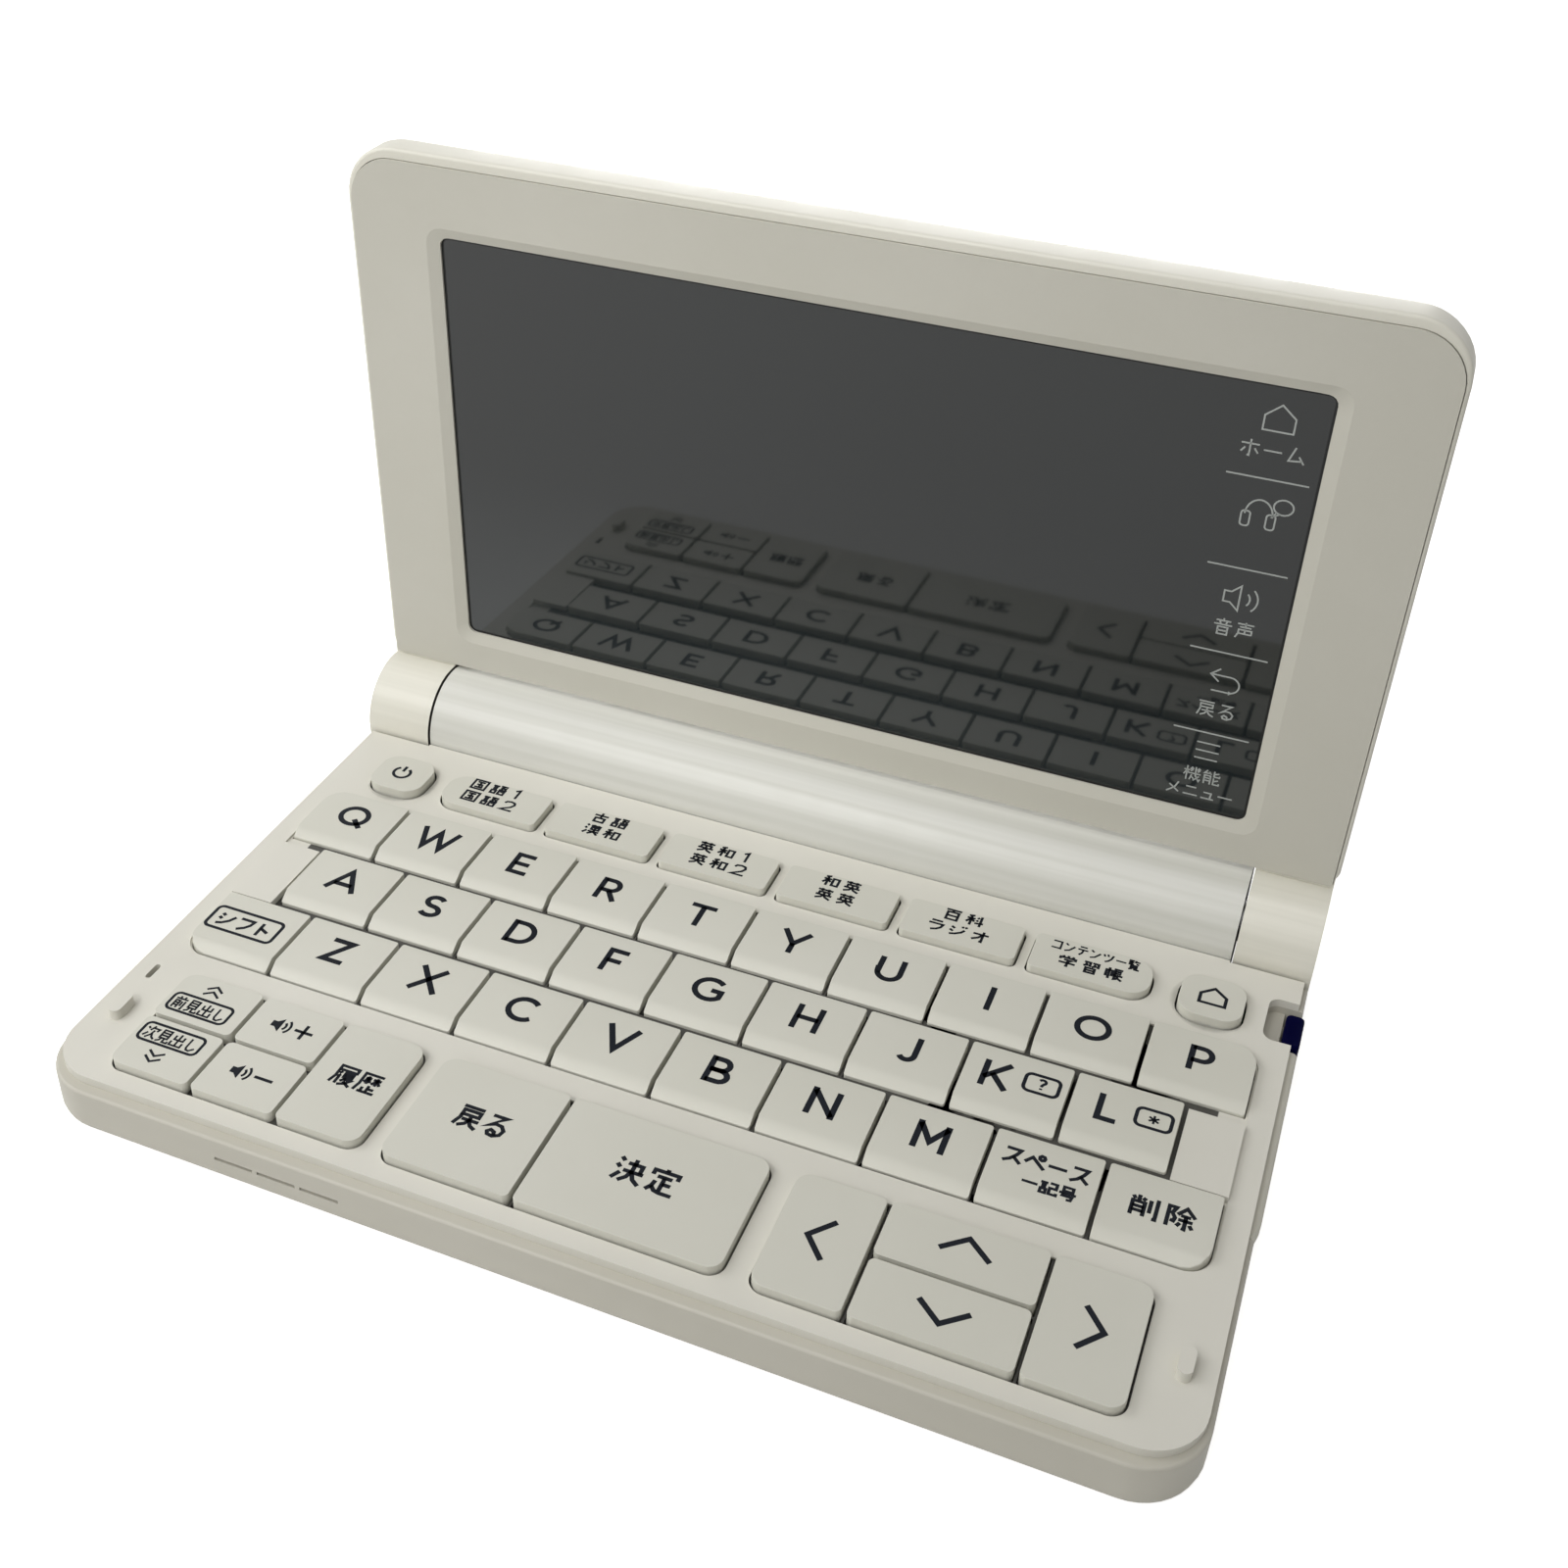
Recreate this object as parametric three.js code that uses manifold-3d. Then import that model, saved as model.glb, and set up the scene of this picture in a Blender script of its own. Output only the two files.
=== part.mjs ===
import * as THREE from 'three';
import { mergeVertices } from 'three/addons/utils/BufferGeometryUtils.js';
import Module from 'manifold-3d';

// An open clamshell electronic dictionary. Millimetres, +X right, +Y towards the hinge, +Z up.
// The origin is on the underside, in the middle of the base.

const wasm = await Module();
wasm.setup();

// Fineness of curves
const cornerSteps = 5;
const smallCornerSteps = 2;
const barrelSteps = 64;
const roundSteps = 24;
const domeSteps = 8;
const dishRings = 4;
const dishSteps = 24;
const edgeSteps = 3;
const quarterTurn = Math.PI / 2;
const halfShare = 0.5;
const overrun = 5;

// Cells and their bay, which set the length of the barrel
const cellRadius = 7.2;
const cellLength = 50.5;
const cellSpacing = 0.4;
const cellNubRadius = 2.6;
const cellNubLength = 1.3;
const bayGap = 0.2;
const bayEndRoom = 1.2;
const cellBayRadius = cellRadius + bayGap;
const cellBayHalfLength = cellSpacing * halfShare + cellLength + bayEndRoom;

// Battery barrel and hinge
const barrelRearWall = 1.05;
const barrelFrontInset = 0.25;
const barrelEndLength = 10.85;
const barrelFootGap = 0.19;
const knuckleStep = 0.21;
const knuckleGap = 0.3;
const knuckleLength = 10.55;
const bayRearShift = 0.35;
const bayDrop = 0.35;
const barrelRearRadius = cellBayRadius + barrelRearWall;
const barrelFrontRadius = barrelRearRadius - barrelFrontInset;
const barrelHalfLength = cellBayHalfLength + barrelEndLength;
const knuckleRadius = barrelFrontRadius + knuckleStep;
const knuckleInner = barrelHalfLength + knuckleGap;
const knuckleOuter = knuckleInner + knuckleLength;
const hingeY = 40.48;
const cellBayZ = barrelRearRadius + barrelFootGap;
const hingeZ = cellBayZ + bayDrop;
const cellBayY = hingeY + bayRearShift;
const footSeamGap = 0.1;
const coverLowSeamRun = 0.27;
const coverSeamLean = 1.8;
const coverLowSeam = cellBayY + coverLowSeamRun;
const coverHighSeam = coverLowSeam + coverSeamLean;
const barrelFootRear = coverLowSeam - footSeamGap;
const coverGap = 0.25;
const coverEndGap = 0.3;
const bayEndWall = 1.7;
const shaftEndGap = 0.4;
const hingeShaftRadius = 3;
const hingeShaftGap = 0.3;
const hingeBoreRadius = hingeShaftRadius + hingeShaftGap;
const hingeBoreInner = cellBayHalfLength + bayEndWall;
const hingeShaftInner = hingeBoreInner + shaftEndGap;
const knuckleEndWall = 3.6;
const hingeShaftOuter = knuckleOuter - knuckleEndWall;
const hingeFlangeStep = 2;
const hingeFlangeThickness = 1;
const hingeFlangeInset = 2.95;
const hingeFlangeRadius = hingeShaftRadius + hingeFlangeStep;
const hingeFlangeInner = knuckleInner + hingeFlangeInset;
const cableBossRadius = 4;
const cableBossBore = 2.6;
const cableBossReach = 3.45;
const cableBossGap = 0.3;
const cableBossEnd = knuckleInner + cableBossReach;
const cableBoreEnd = hingeBoreInner + shaftEndGap;

// Heights, from the floor of the case up to the key tops
const caseFloor = 1.3;
const boardRise = 1;
const boardThickness = 1;
const matSeat = 0.05;
const matThickness = 0.5;
const domeHeight = 0.75;
const domeClearance = 0.1;
const keyTravel = 0.8;
const stemLength = 0.6;
const flangeThickness = 0.6;
const flangeClearance = 0.3;
const plateauRise = 1.2;
const keyRise = 1.17;
const wellDepth = 0.35;
const boardLow = caseFloor + boardRise;
const boardTop = boardLow + boardThickness;
const matLow = boardTop + matSeat;
const domeTop = matLow + matThickness + domeHeight;
const flangeTop = domeTop + domeClearance + keyTravel + stemLength + flangeThickness;
const ledgeHeight = flangeTop + flangeClearance;
const plateauTop = ledgeHeight + plateauRise;
const keyTop = plateauTop + keyRise;
const wellFloor = plateauTop - wellDepth;

// Base: outline
const caseHalfWidth = knuckleOuter;
const caseCornerRadius = 8;
const caseEdgeRound = 1.8;
const caseRimRound = 0.45;
const caseWall = 1.6;
const plateauInset = 0.7;
const plateauCornerStep = 1;
const plateauRearGap = 0.13;
const cavityRearWall = 1.75;
const sideRearGap = 0.35;
const plateauHalfWidth = caseHalfWidth - plateauInset;
const plateauCornerRadius = caseCornerRadius - plateauCornerStep;
const plateauRear = hingeY - barrelFrontRadius - plateauRearGap;
const cavityRear = plateauRear - cavityRearWall;
const sideRear = hingeY - knuckleRadius - sideRearGap;

// Upper row of keys
const topicCount = 6;
const topicRearBorder = 6.2;
const topicDepth = 7.3;
const topicGap = 1.8;
const topicShift = -0.3;
const topicEndGap = 3.54;
const topicCorner = 3;
const topicSmallCorner = 0.8;
const roundKeyHalfWidth = 4.3;
const roundKeyHalfDepth = 4.1;
const roundKeyCorner = 2.7;
const roundKeyInset = 7.45;
const keySideBorder = 4.31;
const dishRadius = 6.9;
const dishDepth = 0.45;
const letterBlockHalf = caseHalfWidth - keySideBorder;
const topicBack = plateauRear - topicRearBorder;
const topicFront = topicBack - topicDepth;
const roundKeyX = letterBlockHalf - roundKeyInset;
const roundKeyY = (topicFront + topicBack) * halfShare;
const topicRowHalf = roundKeyX - roundKeyHalfWidth - topicEndGap;
const topicPitch = (topicRowHalf + topicRowHalf + topicGap) / topicCount;
const topicWidth = topicPitch - topicGap;
const topicLeft = topicShift - topicRowHalf;

// Letter keys
const longRowCount = 10;
const shortRowCount = 9;
const letterGap = 0.62;
const letterShift = -0.3;
const letterDepth = 11.45;
const letterRowGap = 1.95;
const topicRowGap = 3.85;
const letterFacetRun = 1.8;
const letterCorner = 3.1;
const letterSmallCorner = 0.35;
const letterPitch = (letterBlockHalf + letterBlockHalf + letterGap) / longRowCount;
const letterRowPitch = letterDepth + letterRowGap;
const letterRowBack = topicFront - topicRowGap;
const middleRowBack = letterRowBack - letterRowPitch;
const lowerRowBack = middleRowBack - letterRowPitch;
const longRowStart = letterShift - letterPitch * longRowCount * halfShare;
const shortRowStart = letterShift - letterPitch * shortRowCount * halfShare;
const shortRowEnd = shortRowStart + letterPitch * shortRowCount;

// Wells and openings round the keys
const wellMargin = 0.38;
const guideGap = 0.14;
const sharpBelow = 1;
const openingGap = 0.28;
const fillerDrop = 0.42;
const fillerInset = 0.35;
const fillerReach = 0.5;
const fillerTop = keyTop - fillerDrop;
const fillerBack = middleRowBack - fillerInset;
const fillerFront = lowerRowBack + fillerReach;

// Lower groups of keys
const lowerRowGap = 4.7;
const lowerDepth = 17.7;
const lowerFrontKeyDepth = 9.1;
const lowerInset = 4.69;
const lowerCorner = 1.9;
const lowerSmallCorner = 0.8;
const lowerGap = 0.62;
const lowerBack = lowerRowBack - letterDepth - lowerRowGap;
const lowerFront = lowerBack - lowerDepth;
const lowerSplit = lowerFront + lowerFrontKeyDepth;
const lowerHalfWidth = letterBlockHalf - lowerInset;

// Where each lower key starts or ends, as a share of half the width that the groups fill
const pageEndShare = -0.8111;
const volumeEndShare = -0.6207;
const historyEndShare = -0.4443;
const backStartShare = -0.3978;
const backEndShare = -0.12;
const enterEndShare = 0.2848;
const arrowsStartShare = 0.3375;
const leftArrowEndShare = 0.5178;
const middleArrowEndShare = 0.8204;
const arrowsEndShare = 0.9969;
const pageKeyEnd = lowerHalfWidth * pageEndShare;
const volumeKeyEnd = lowerHalfWidth * volumeEndShare;
const historyKeyEnd = lowerHalfWidth * historyEndShare;
const backKeyStart = lowerHalfWidth * backStartShare;
const backKeyEnd = lowerHalfWidth * backEndShare;
const enterKeyEnd = lowerHalfWidth * enterEndShare;
const arrowsStart = lowerHalfWidth * arrowsStartShare;
const leftArrowEnd = lowerHalfWidth * leftArrowEndShare;
const middleArrowEnd = lowerHalfWidth * middleArrowEndShare;
const arrowsEnd = lowerHalfWidth * arrowsEndShare;

// Front of the base
const plateauFrontBorder = 2.8;
const ledgeDepth = 1.6;
const plateauFront = lowerFront - plateauFrontBorder;
const caseFront = plateauFront - ledgeDepth;

// Stylus, its groove and the finger scoop
const stylusProud = 0.4;
const stylusWidth = 2.4;
const stylusHeight = 3;
const stylusTopGap = 0.15;
const stylusLength = 40.2;
const stylusRearInset = 0.5;
const stylusCorner = 0.7;
const stylusCapLength = 6.5;
const stylusCapRise = 0.7;
const stylusTipLength = 3.2;
const stylusTipInset = 0.8;
const grooveGap = 0.25;
const grooveWall = 1;
const scoopReach = 2.55;
const scoopFrontGap = 0.4;
const scoopRearGap = 1.5;
const scoopDrop = 0.95;
const scoopCorner = 1.5;
const stylusOuter = caseHalfWidth + stylusProud;
const stylusInner = stylusOuter - stylusWidth;
const stylusHigh = ledgeHeight - stylusTopGap;
const stylusLow = stylusHigh - stylusHeight;
const stylusRear = topicBack - stylusRearInset;
const stylusFront = stylusRear - stylusLength;
const stylusCapFront = stylusRear - stylusCapLength;
const stylusCapHigh = stylusHigh + stylusCapRise;
const scoopInner = stylusInner - scoopReach;
const scoopFront = stylusCapFront - scoopFrontGap;
const scoopRear = stylusRear + scoopRearGap;
const scoopFloor = stylusHigh - scoopDrop;

// Under the keys
const stemHalfWidth = 1.6;
const flangeTab = 0.5;
const domeLowRadius = 2.5;
const domeHighRadius = 1.7;
const boardSideGap = 0.65;
const boardFrontInset = 3.05;
const boardRearGap = 0.8;
const boardCorner = 4;
const matInset = 1.6;
const postRadius = 2.6;
const postSeat = 0.03;
const postSideInset = 7.4;
const postFrontInset = 7.2;
const postRearInset = 7.6;
const postMiddleRun = 28;
const boardHalfWidth = scoopInner - grooveWall - boardSideGap;
const boardFront = caseFront + boardFrontInset;
const boardRear = cavityRear - boardRearGap;
const postSpanX = boardHalfWidth - postSideInset;
const postFront = boardFront + postFrontInset;
const postRows = [postFront, postFront + postMiddleRun, boardRear - postRearInset];

// Lip that locates the upper case in the lower case
const lipWidth = 1;
const lipDepth = 1.2;
const lipGap = 0.3;
const lipCornerGap = 2.25;
const lipFrontCornerGap = 5.6;
const lipEndGap = 2;
const lipSideFront = caseFront + caseCornerRadius + lipCornerGap;
const lipFrontHalf = caseHalfWidth - caseCornerRadius - lipFrontCornerGap;
const lipSideEnd = stylusFront - grooveGap - grooveWall - lipEndGap;

// Bumpers that the lid closes on
const bumperInset = 4.25;
const bumperRun = 11.95;
const bumperHalfWidth = 0.85;
const bumperHalfLength = 1.95;
const bumperHeight = 1.3;
const bumperRing = 1.25;
const bumperDishDepth = 0.45;
const bumperX = caseHalfWidth - bumperInset;
const bumperY = plateauFront + bumperRun;

// Openings in the case
const slotHeight = 0.5;
const slotRise = 0.45;
const slotWidth = 5.4;
const slotPitch = 6.05;
const slotInset = 27.3;
const slotCount = 3;
const micInset = 3.5;
const micRun = 19.55;
const micLength = 2.8;
const micWidth = 0.8;
const plugRise = 0.4;
const jackRise = 1;
const jackRun = 5.95;
const usbRun = 14;
const cardRun = 15;
const usbWidth = 7.4;
const usbHeight = 2;
const cardWidth = 11.6;
const cardHeight = 1;
const socketLength = 5;
const socketInset = 0.3;
const socketMargin = 0.3;
const jackRadius = 1.75;
const jackHalfWidth = 2.4;
const footInset = 13.6;
const footFrontRun = 10.25;
const footRearRun = 16.48;
const footRadius = 4;
const footDepth = 0.6;
const slotZ = boardTop + slotRise;
const slotStart = slotInset - caseHalfWidth;
const micX = micInset - caseHalfWidth;
const micY = plateauFront + micRun;
const plugZ = boardTop + plugRise;
const jackZ = boardTop + jackRise;
const jackY = topicBack - jackRun;
const usbY = jackY - usbRun;
const cardY = usbY - cardRun;
const footX = caseHalfWidth - footInset;
const footFront = caseFront + footFrontRun;
const footRear = hingeY - footRearRun;

// Lid, measured in its own frame: from the hinge axis, standing upright
const lidLean = 1.85;
const faceOffset = 1.27;
const lidRise = 0.37;
const lidProud = 0.4;
const lidLength = 82.6;
const lidTopCorner = 7.6;
const lidLowCorner = 2.4;
const lidEdgeMargin = 0.5;
const lidFrontRound = 0.5;
const rimSetback = 0.25;
const lidFloor = 1.6;
const lidWall = 1.9;
const recessDepth = 0.55;
const windowEdge = 0.3;
const panelSeat = 0.05;
const panelThickness = 2.7;
const panelBackRoom = 0.7;
const panelLip = recessDepth + windowEdge;
const lidLow = knuckleRadius + lidRise;
const lidHalfWidth = caseHalfWidth + lidProud;
const lidBackRound = lidLowCorner - lidEdgeMargin;
const lidThickness = panelLip + panelSeat + panelThickness + panelBackRoom + lidFloor;

// Frame round the display, let into the lid
const bezelSideInset = 0.65;
const bezelTopInset = 1.55;
const bezelCornerStep = 1;
const bezelLowCorner = 0.5;
const bezelThickness = 2;
const bezelSeam = 0.1;
const bezelBottomGap = 0.02;
const bezelPinRadius = 1.5;
const bezelPinInset = 6;
const webRise = 2.6;
const bezelHalfWidth = lidHalfWidth - bezelSideInset;
const bezelLength = lidLength - bezelTopInset;
const bezelTopCorner = lidTopCorner - bezelCornerStep;

// Window, the sloping recess round it and the display behind it
const windowSideBorder = 13.2;
const windowTopBorder = 9.94;
const windowLow = 6.72;
const windowCorner = 1.3;
const recessSideMargin = 1.85;
const recessLowMargin = 1.82;
const recessHighMargin = 1.44;
const recessCorner = 2.4;
const panelSideMargin = 1.15;
const panelLowMargin = 1.12;
const panelHighMargin = 1.09;
const panelGap = 0.25;
const panelCorner = 1;
const windowHalfWidth = bezelHalfWidth - windowSideBorder;
const windowHigh = bezelLength - windowTopBorder;
const recessHalfWidth = windowHalfWidth + recessSideMargin;
const recessLow = windowLow - recessLowMargin;
const recessHigh = windowHigh + recessHighMargin;
const panelHalfWidth = windowHalfWidth + panelSideMargin;
const panelLow = windowLow - panelLowMargin;
const panelHigh = windowHigh + panelHighMargin;

// Turns a closed three.js geometry into a solid
function solid(geometry) {
  const clean = geometry.clone();
  clean.deleteAttribute('normal');
  clean.deleteAttribute('uv');
  const welded = mergeVertices(clean);
  const vertProperties = new Float32Array(welded.attributes.position.array);
  const triVerts = new Uint32Array(welded.index.array);
  const mesh = new wasm.Mesh({ numProp: 3, vertProperties, triVerts });
  return new wasm.Manifold(mesh);
}

function surface(body) {
  const mesh = body.getMesh();
  const geometry = new THREE.BufferGeometry();
  geometry.setAttribute('position', new THREE.BufferAttribute(mesh.vertProperties, 3));
  geometry.setIndex(new THREE.BufferAttribute(mesh.triVerts, 1));
  geometry.computeVertexNormals();
  return geometry;
}

function joined(first, ...others) {
  let body = first;
  for (const other of others) {
    body = body.add(other);
  }
  return body;
}

function cut(first, ...tools) {
  let body = first;
  for (const tool of tools) {
    body = body.subtract(tool);
  }
  return body;
}

// Corner radii run back left, back right, front right, front left
function rectangle(left, right, front, back, radii) {
  const [backLeft, backRight, frontRight, frontLeft] = radii;
  const shape = new THREE.Shape();
  shape.moveTo(left + frontLeft, front);
  shape.lineTo(right - frontRight, front);
  if (frontRight > 0) {
    shape.absarc(right - frontRight, front + frontRight, frontRight, -quarterTurn, 0, false);
  }
  shape.lineTo(right, back - backRight);
  if (backRight > 0) {
    shape.absarc(right - backRight, back - backRight, backRight, 0, quarterTurn, false);
  }
  shape.lineTo(left + backLeft, back);
  if (backLeft > 0) {
    shape.absarc(left + backLeft, back - backLeft, backLeft, quarterTurn, Math.PI, false);
  }
  shape.lineTo(left, front + frontLeft);
  if (frontLeft > 0) {
    shape.absarc(left + frontLeft, front + frontLeft, frontLeft, Math.PI, Math.PI + quarterTurn, false);
  }
  return shape;
}

function even(radius) {
  return [radius, radius, radius, radius];
}

// A plan outline raised from one height to another
function raised(shape, low, high, steps) {
  const geometry = new THREE.ExtrudeGeometry(shape, {
    depth: high - low,
    bevelEnabled: false,
    curveSegments: steps,
  });
  geometry.translate(0, 0, low);
  return solid(geometry);
}

// A plan outline raised between two heights, both of its rims rounded by the same radius
function pillow(shape, low, high, round, steps) {
  const geometry = new THREE.ExtrudeGeometry(shape, {
    depth: high - low - round - round,
    bevelEnabled: true,
    bevelThickness: round,
    bevelSize: round,
    bevelOffset: -round,
    bevelSegments: edgeSteps,
    curveSegments: steps,
  });
  geometry.translate(0, 0, low + round);
  return solid(geometry);
}

function block(left, right, front, back, low, high) {
  const geometry = new THREE.BoxGeometry(right - left, back - front, high - low);
  const middleX = (left + right) * halfShare;
  const middleY = (front + back) * halfShare;
  const middleZ = (low + high) * halfShare;
  geometry.translate(middleX, middleY, middleZ);
  return solid(geometry);
}

// An outline drawn in Y and Z, carried along X
function carried(points, left, right) {
  const outline = points.map(([y, z]) => new THREE.Vector2(y, z));
  const geometry = new THREE.ExtrudeGeometry(new THREE.Shape(outline), {
    depth: right - left,
    bevelEnabled: false,
  });
  const turn = new THREE.Matrix4();
  turn.makeBasis(new THREE.Vector3(0, 1, 0), new THREE.Vector3(0, 0, 1), new THREE.Vector3(1, 0, 0));
  geometry.applyMatrix4(turn);
  geometry.translate(left, 0, 0);
  return solid(geometry);
}

function rod(left, right, y, z, radius, steps) {
  const geometry = new THREE.CylinderGeometry(radius, radius, right - left, steps);
  geometry.rotateZ(quarterTurn);
  geometry.translate((left + right) * halfShare, y, z);
  return solid(geometry);
}

function upright(x, y, low, high, lowRadius, highRadius, steps) {
  const geometry = new THREE.CylinderGeometry(highRadius, lowRadius, high - low, steps);
  geometry.rotateX(quarterTurn);
  geometry.translate(x, y, (low + high) * halfShare);
  return solid(geometry);
}

// A lens that presses a shallow round dish into a surface at the given height
function dish(x, y, height, radius, depth, stretch, rings) {
  const sphereRadius = (radius * radius + depth * depth) / (depth + depth);
  const points = [new THREE.Vector2(0, -depth)];
  for (let ring = 1; ring <= rings; ring += 1) {
    const reach = (radius * ring) / rings;
    const drop = sphereRadius - depth - Math.sqrt(sphereRadius * sphereRadius - reach * reach);
    points.push(new THREE.Vector2(reach, drop));
  }
  points.push(new THREE.Vector2(radius, overrun));
  points.push(new THREE.Vector2(0, overrun));
  const geometry = new THREE.LatheGeometry(points, dishSteps);
  geometry.rotateX(quarterTurn);
  geometry.scale(1, stretch, 1);
  geometry.translate(x, y, height);
  return solid(geometry);
}

function plainKey(name, left, right, front, back, radii, tabs) {
  return { name, left, right, front, back, radii, tabs, faceted: false };
}

function letterRow(names, back, firstDivider, leftEdge, rightEdge) {
  const keys = [];
  const front = back - letterDepth;
  const margin = letterGap * halfShare;
  names.forEach((letter, place) => {
    const leftDivider = firstDivider + place * letterPitch;
    const left = place === 0 ? leftEdge : leftDivider + margin;
    const last = place === names.length - 1;
    const right = last ? rightEdge : leftDivider + letterPitch - margin;
    const radii = even(letterSmallCorner);
    keys.push({ name: `key_${letter}`, left, right, front, back, radii, tabs: [1, 1], faceted: true });
  });
  return keys;
}

function letterKeys() {
  const margin = letterGap * halfShare;
  const half = letterBlockHalf;
  const upper = letterRow([...'qwertyuiop'], letterRowBack, longRowStart, -half, half);
  const middle = letterRow(
    [...'asdfghjkl'],
    middleRowBack,
    shortRowStart,
    shortRowStart + margin,
    shortRowEnd - margin,
  );
  const lowerNames = ['shift', ...'zxcvbnm', 'space', 'delete'];
  const lower = letterRow(lowerNames, lowerRowBack, longRowStart, -half, half);
  upper[0].radii[0] = letterCorner;
  upper[upper.length - 1].radii[1] = letterCorner;
  lower[0].radii[3] = letterCorner;
  lower[lower.length - 1].radii[2] = letterCorner;
  return [...upper, ...middle, ...lower];
}

function topicKeys() {
  const keys = [];
  for (let place = 0; place < topicCount; place += 1) {
    const left = topicLeft + place * topicPitch;
    const radii = even(topicSmallCorner);
    if (place === 0) {
      radii[0] = topicCorner;
      radii[3] = topicCorner;
    }
    if (place === topicCount - 1) {
      radii[1] = topicCorner;
      radii[2] = topicCorner;
    }
    const name = `key_topic_${place + 1}`;
    keys.push(plainKey(name, left, left + topicWidth, topicFront, topicBack, radii, [1, 1]));
  }
  return keys;
}

function roundKey(name, x) {
  const left = x - roundKeyHalfWidth;
  const right = x + roundKeyHalfWidth;
  const front = roundKeyY - roundKeyHalfDepth;
  const back = roundKeyY + roundKeyHalfDepth;
  return plainKey(name, left, right, front, back, even(roundKeyCorner), [1, 1]);
}

// The two halves of a stacked pair: the rear one has its tab behind, the front one in front
function stackedPair(rearName, frontName, left, right, rearRadii, frontRadii) {
  const margin = lowerGap * halfShare;
  return [
    plainKey(rearName, left, right, lowerSplit + margin, lowerBack, rearRadii, [0, 1]),
    plainKey(frontName, left, right, lowerFront, lowerSplit - margin, frontRadii, [1, 0]),
  ];
}

function leftGroupKeys() {
  const small = lowerSmallCorner;
  const large = lowerCorner;
  const pageEnd = pageKeyEnd - lowerGap;
  const volumeEnd = volumeKeyEnd - lowerGap;
  const historyRadii = [small, large, large, small];
  const rearPage = [large, small, small, small];
  const frontPage = [small, small, small, large];
  return [
    ...stackedPair('key_previous', 'key_next', -lowerHalfWidth, pageEnd, rearPage, frontPage),
    ...stackedPair('key_volume_up', 'key_volume_down', pageKeyEnd, volumeEnd, even(small), even(small)),
    plainKey('key_history', volumeKeyEnd, historyKeyEnd, lowerFront, lowerBack, historyRadii, [1, 1]),
  ];
}

function middleGroupKeys() {
  const small = lowerSmallCorner;
  const large = lowerCorner;
  const backEnd = backKeyEnd - lowerGap;
  const backRadii = [large, small, small, large];
  const enterRadii = [small, large, large, small];
  return [
    plainKey('key_back', backKeyStart, backEnd, lowerFront, lowerBack, backRadii, [1, 1]),
    plainKey('key_enter', backKeyEnd, enterKeyEnd, lowerFront, lowerBack, enterRadii, [1, 1]),
  ];
}

function arrowGroupKeys() {
  const small = lowerSmallCorner;
  const large = lowerCorner;
  const leftEnd = leftArrowEnd - lowerGap;
  const middleEnd = middleArrowEnd - lowerGap;
  const leftRadii = [large, small, small, large];
  const rightRadii = [small, large, large, small];
  return [
    plainKey('key_left', arrowsStart, leftEnd, lowerFront, lowerBack, leftRadii, [1, 1]),
    ...stackedPair('key_up', 'key_down', leftArrowEnd, middleEnd, even(small), even(small)),
    plainKey('key_right', middleArrowEnd, arrowsEnd, lowerFront, lowerBack, rightRadii, [1, 1]),
  ];
}

const letters = letterKeys();
const topics = topicKeys();
const rounds = [roundKey('key_power', -roundKeyX), roundKey('key_home', roundKeyX)];
const lowerGroups = [leftGroupKeys(), middleGroupKeys(), arrowGroupKeys()];
const allKeys = [...letters, ...topics, ...rounds, ...lowerGroups.flat()];

function keyOutline(key, margin) {
  const radii = key.radii.map((radius) => radius + Math.max(margin, 0));
  return rectangle(key.left - margin, key.right + margin, key.front - margin, key.back + margin, radii);
}

function keyBody(key) {
  const steps = key.faceted ? smallCornerSteps : cornerSteps;
  const flangeLow = flangeTop - flangeThickness;
  let cap = raised(keyOutline(key, 0), flangeLow, keyTop, steps);
  if (key.faceted) {
    const bend = key.front + letterFacetRun;
    const slope = [
      [key.front, plateauTop],
      [bend, keyTop],
      [bend, keyTop + overrun],
      [key.front - overrun, keyTop + overrun],
      [key.front - overrun, plateauTop],
    ];
    cap = cut(cap, carried(slope, key.left - overrun, key.right + overrun));
  }
  const tabFront = key.front - key.tabs[0] * flangeTab;
  const tabBack = key.back + key.tabs[1] * flangeTab;
  const cornerRoom = Math.max(...key.radii);
  const flangeLeft = key.left + cornerRoom;
  const flangeRight = key.right - cornerRoom;
  const flange = block(flangeLeft, flangeRight, tabFront, tabBack, flangeLow, flangeTop);
  const x = (key.left + key.right) * halfShare;
  const y = (key.front + key.back) * halfShare;
  const half = stemHalfWidth;
  const stem = block(x - half, x + half, y - half, y + half, flangeLow - stemLength, flangeTop);
  return joined(cap, flange, stem);
}

function stylusBody() {
  const middleX = (stylusInner + stylusOuter) * halfShare;
  const halfWidth = (stylusOuter - stylusInner) * halfShare;
  const halfHeight = (stylusHigh - stylusLow) * halfShare;
  const middleZ = (stylusHigh + stylusLow) * halfShare;
  const radii = even(stylusCorner);
  const section = rectangle(-halfWidth, halfWidth, -halfHeight, halfHeight, radii);
  const geometry = new THREE.ExtrudeGeometry(section, {
    depth: stylusRear - stylusFront,
    bevelEnabled: false,
    curveSegments: smallCornerSteps,
  });
  geometry.rotateX(quarterTurn);
  geometry.translate(middleX, stylusRear, middleZ);
  const tipRear = stylusFront + stylusTipLength;
  const innerTaper = raised(triangle(stylusInner, stylusTipInset, tipRear), 0, plateauTop, 1);
  const outerTaper = raised(triangle(stylusOuter, -stylusTipInset, tipRear), 0, plateauTop, 1);
  const cap = rectangle(stylusInner, stylusOuter, stylusCapFront, stylusRear, radii);
  const tallCap = pillow(cap, stylusLow, stylusCapHigh, stylusCorner * halfShare, smallCornerSteps);
  return joined(cut(solid(geometry), innerTaper, outerTaper), tallCap);
}

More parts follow.
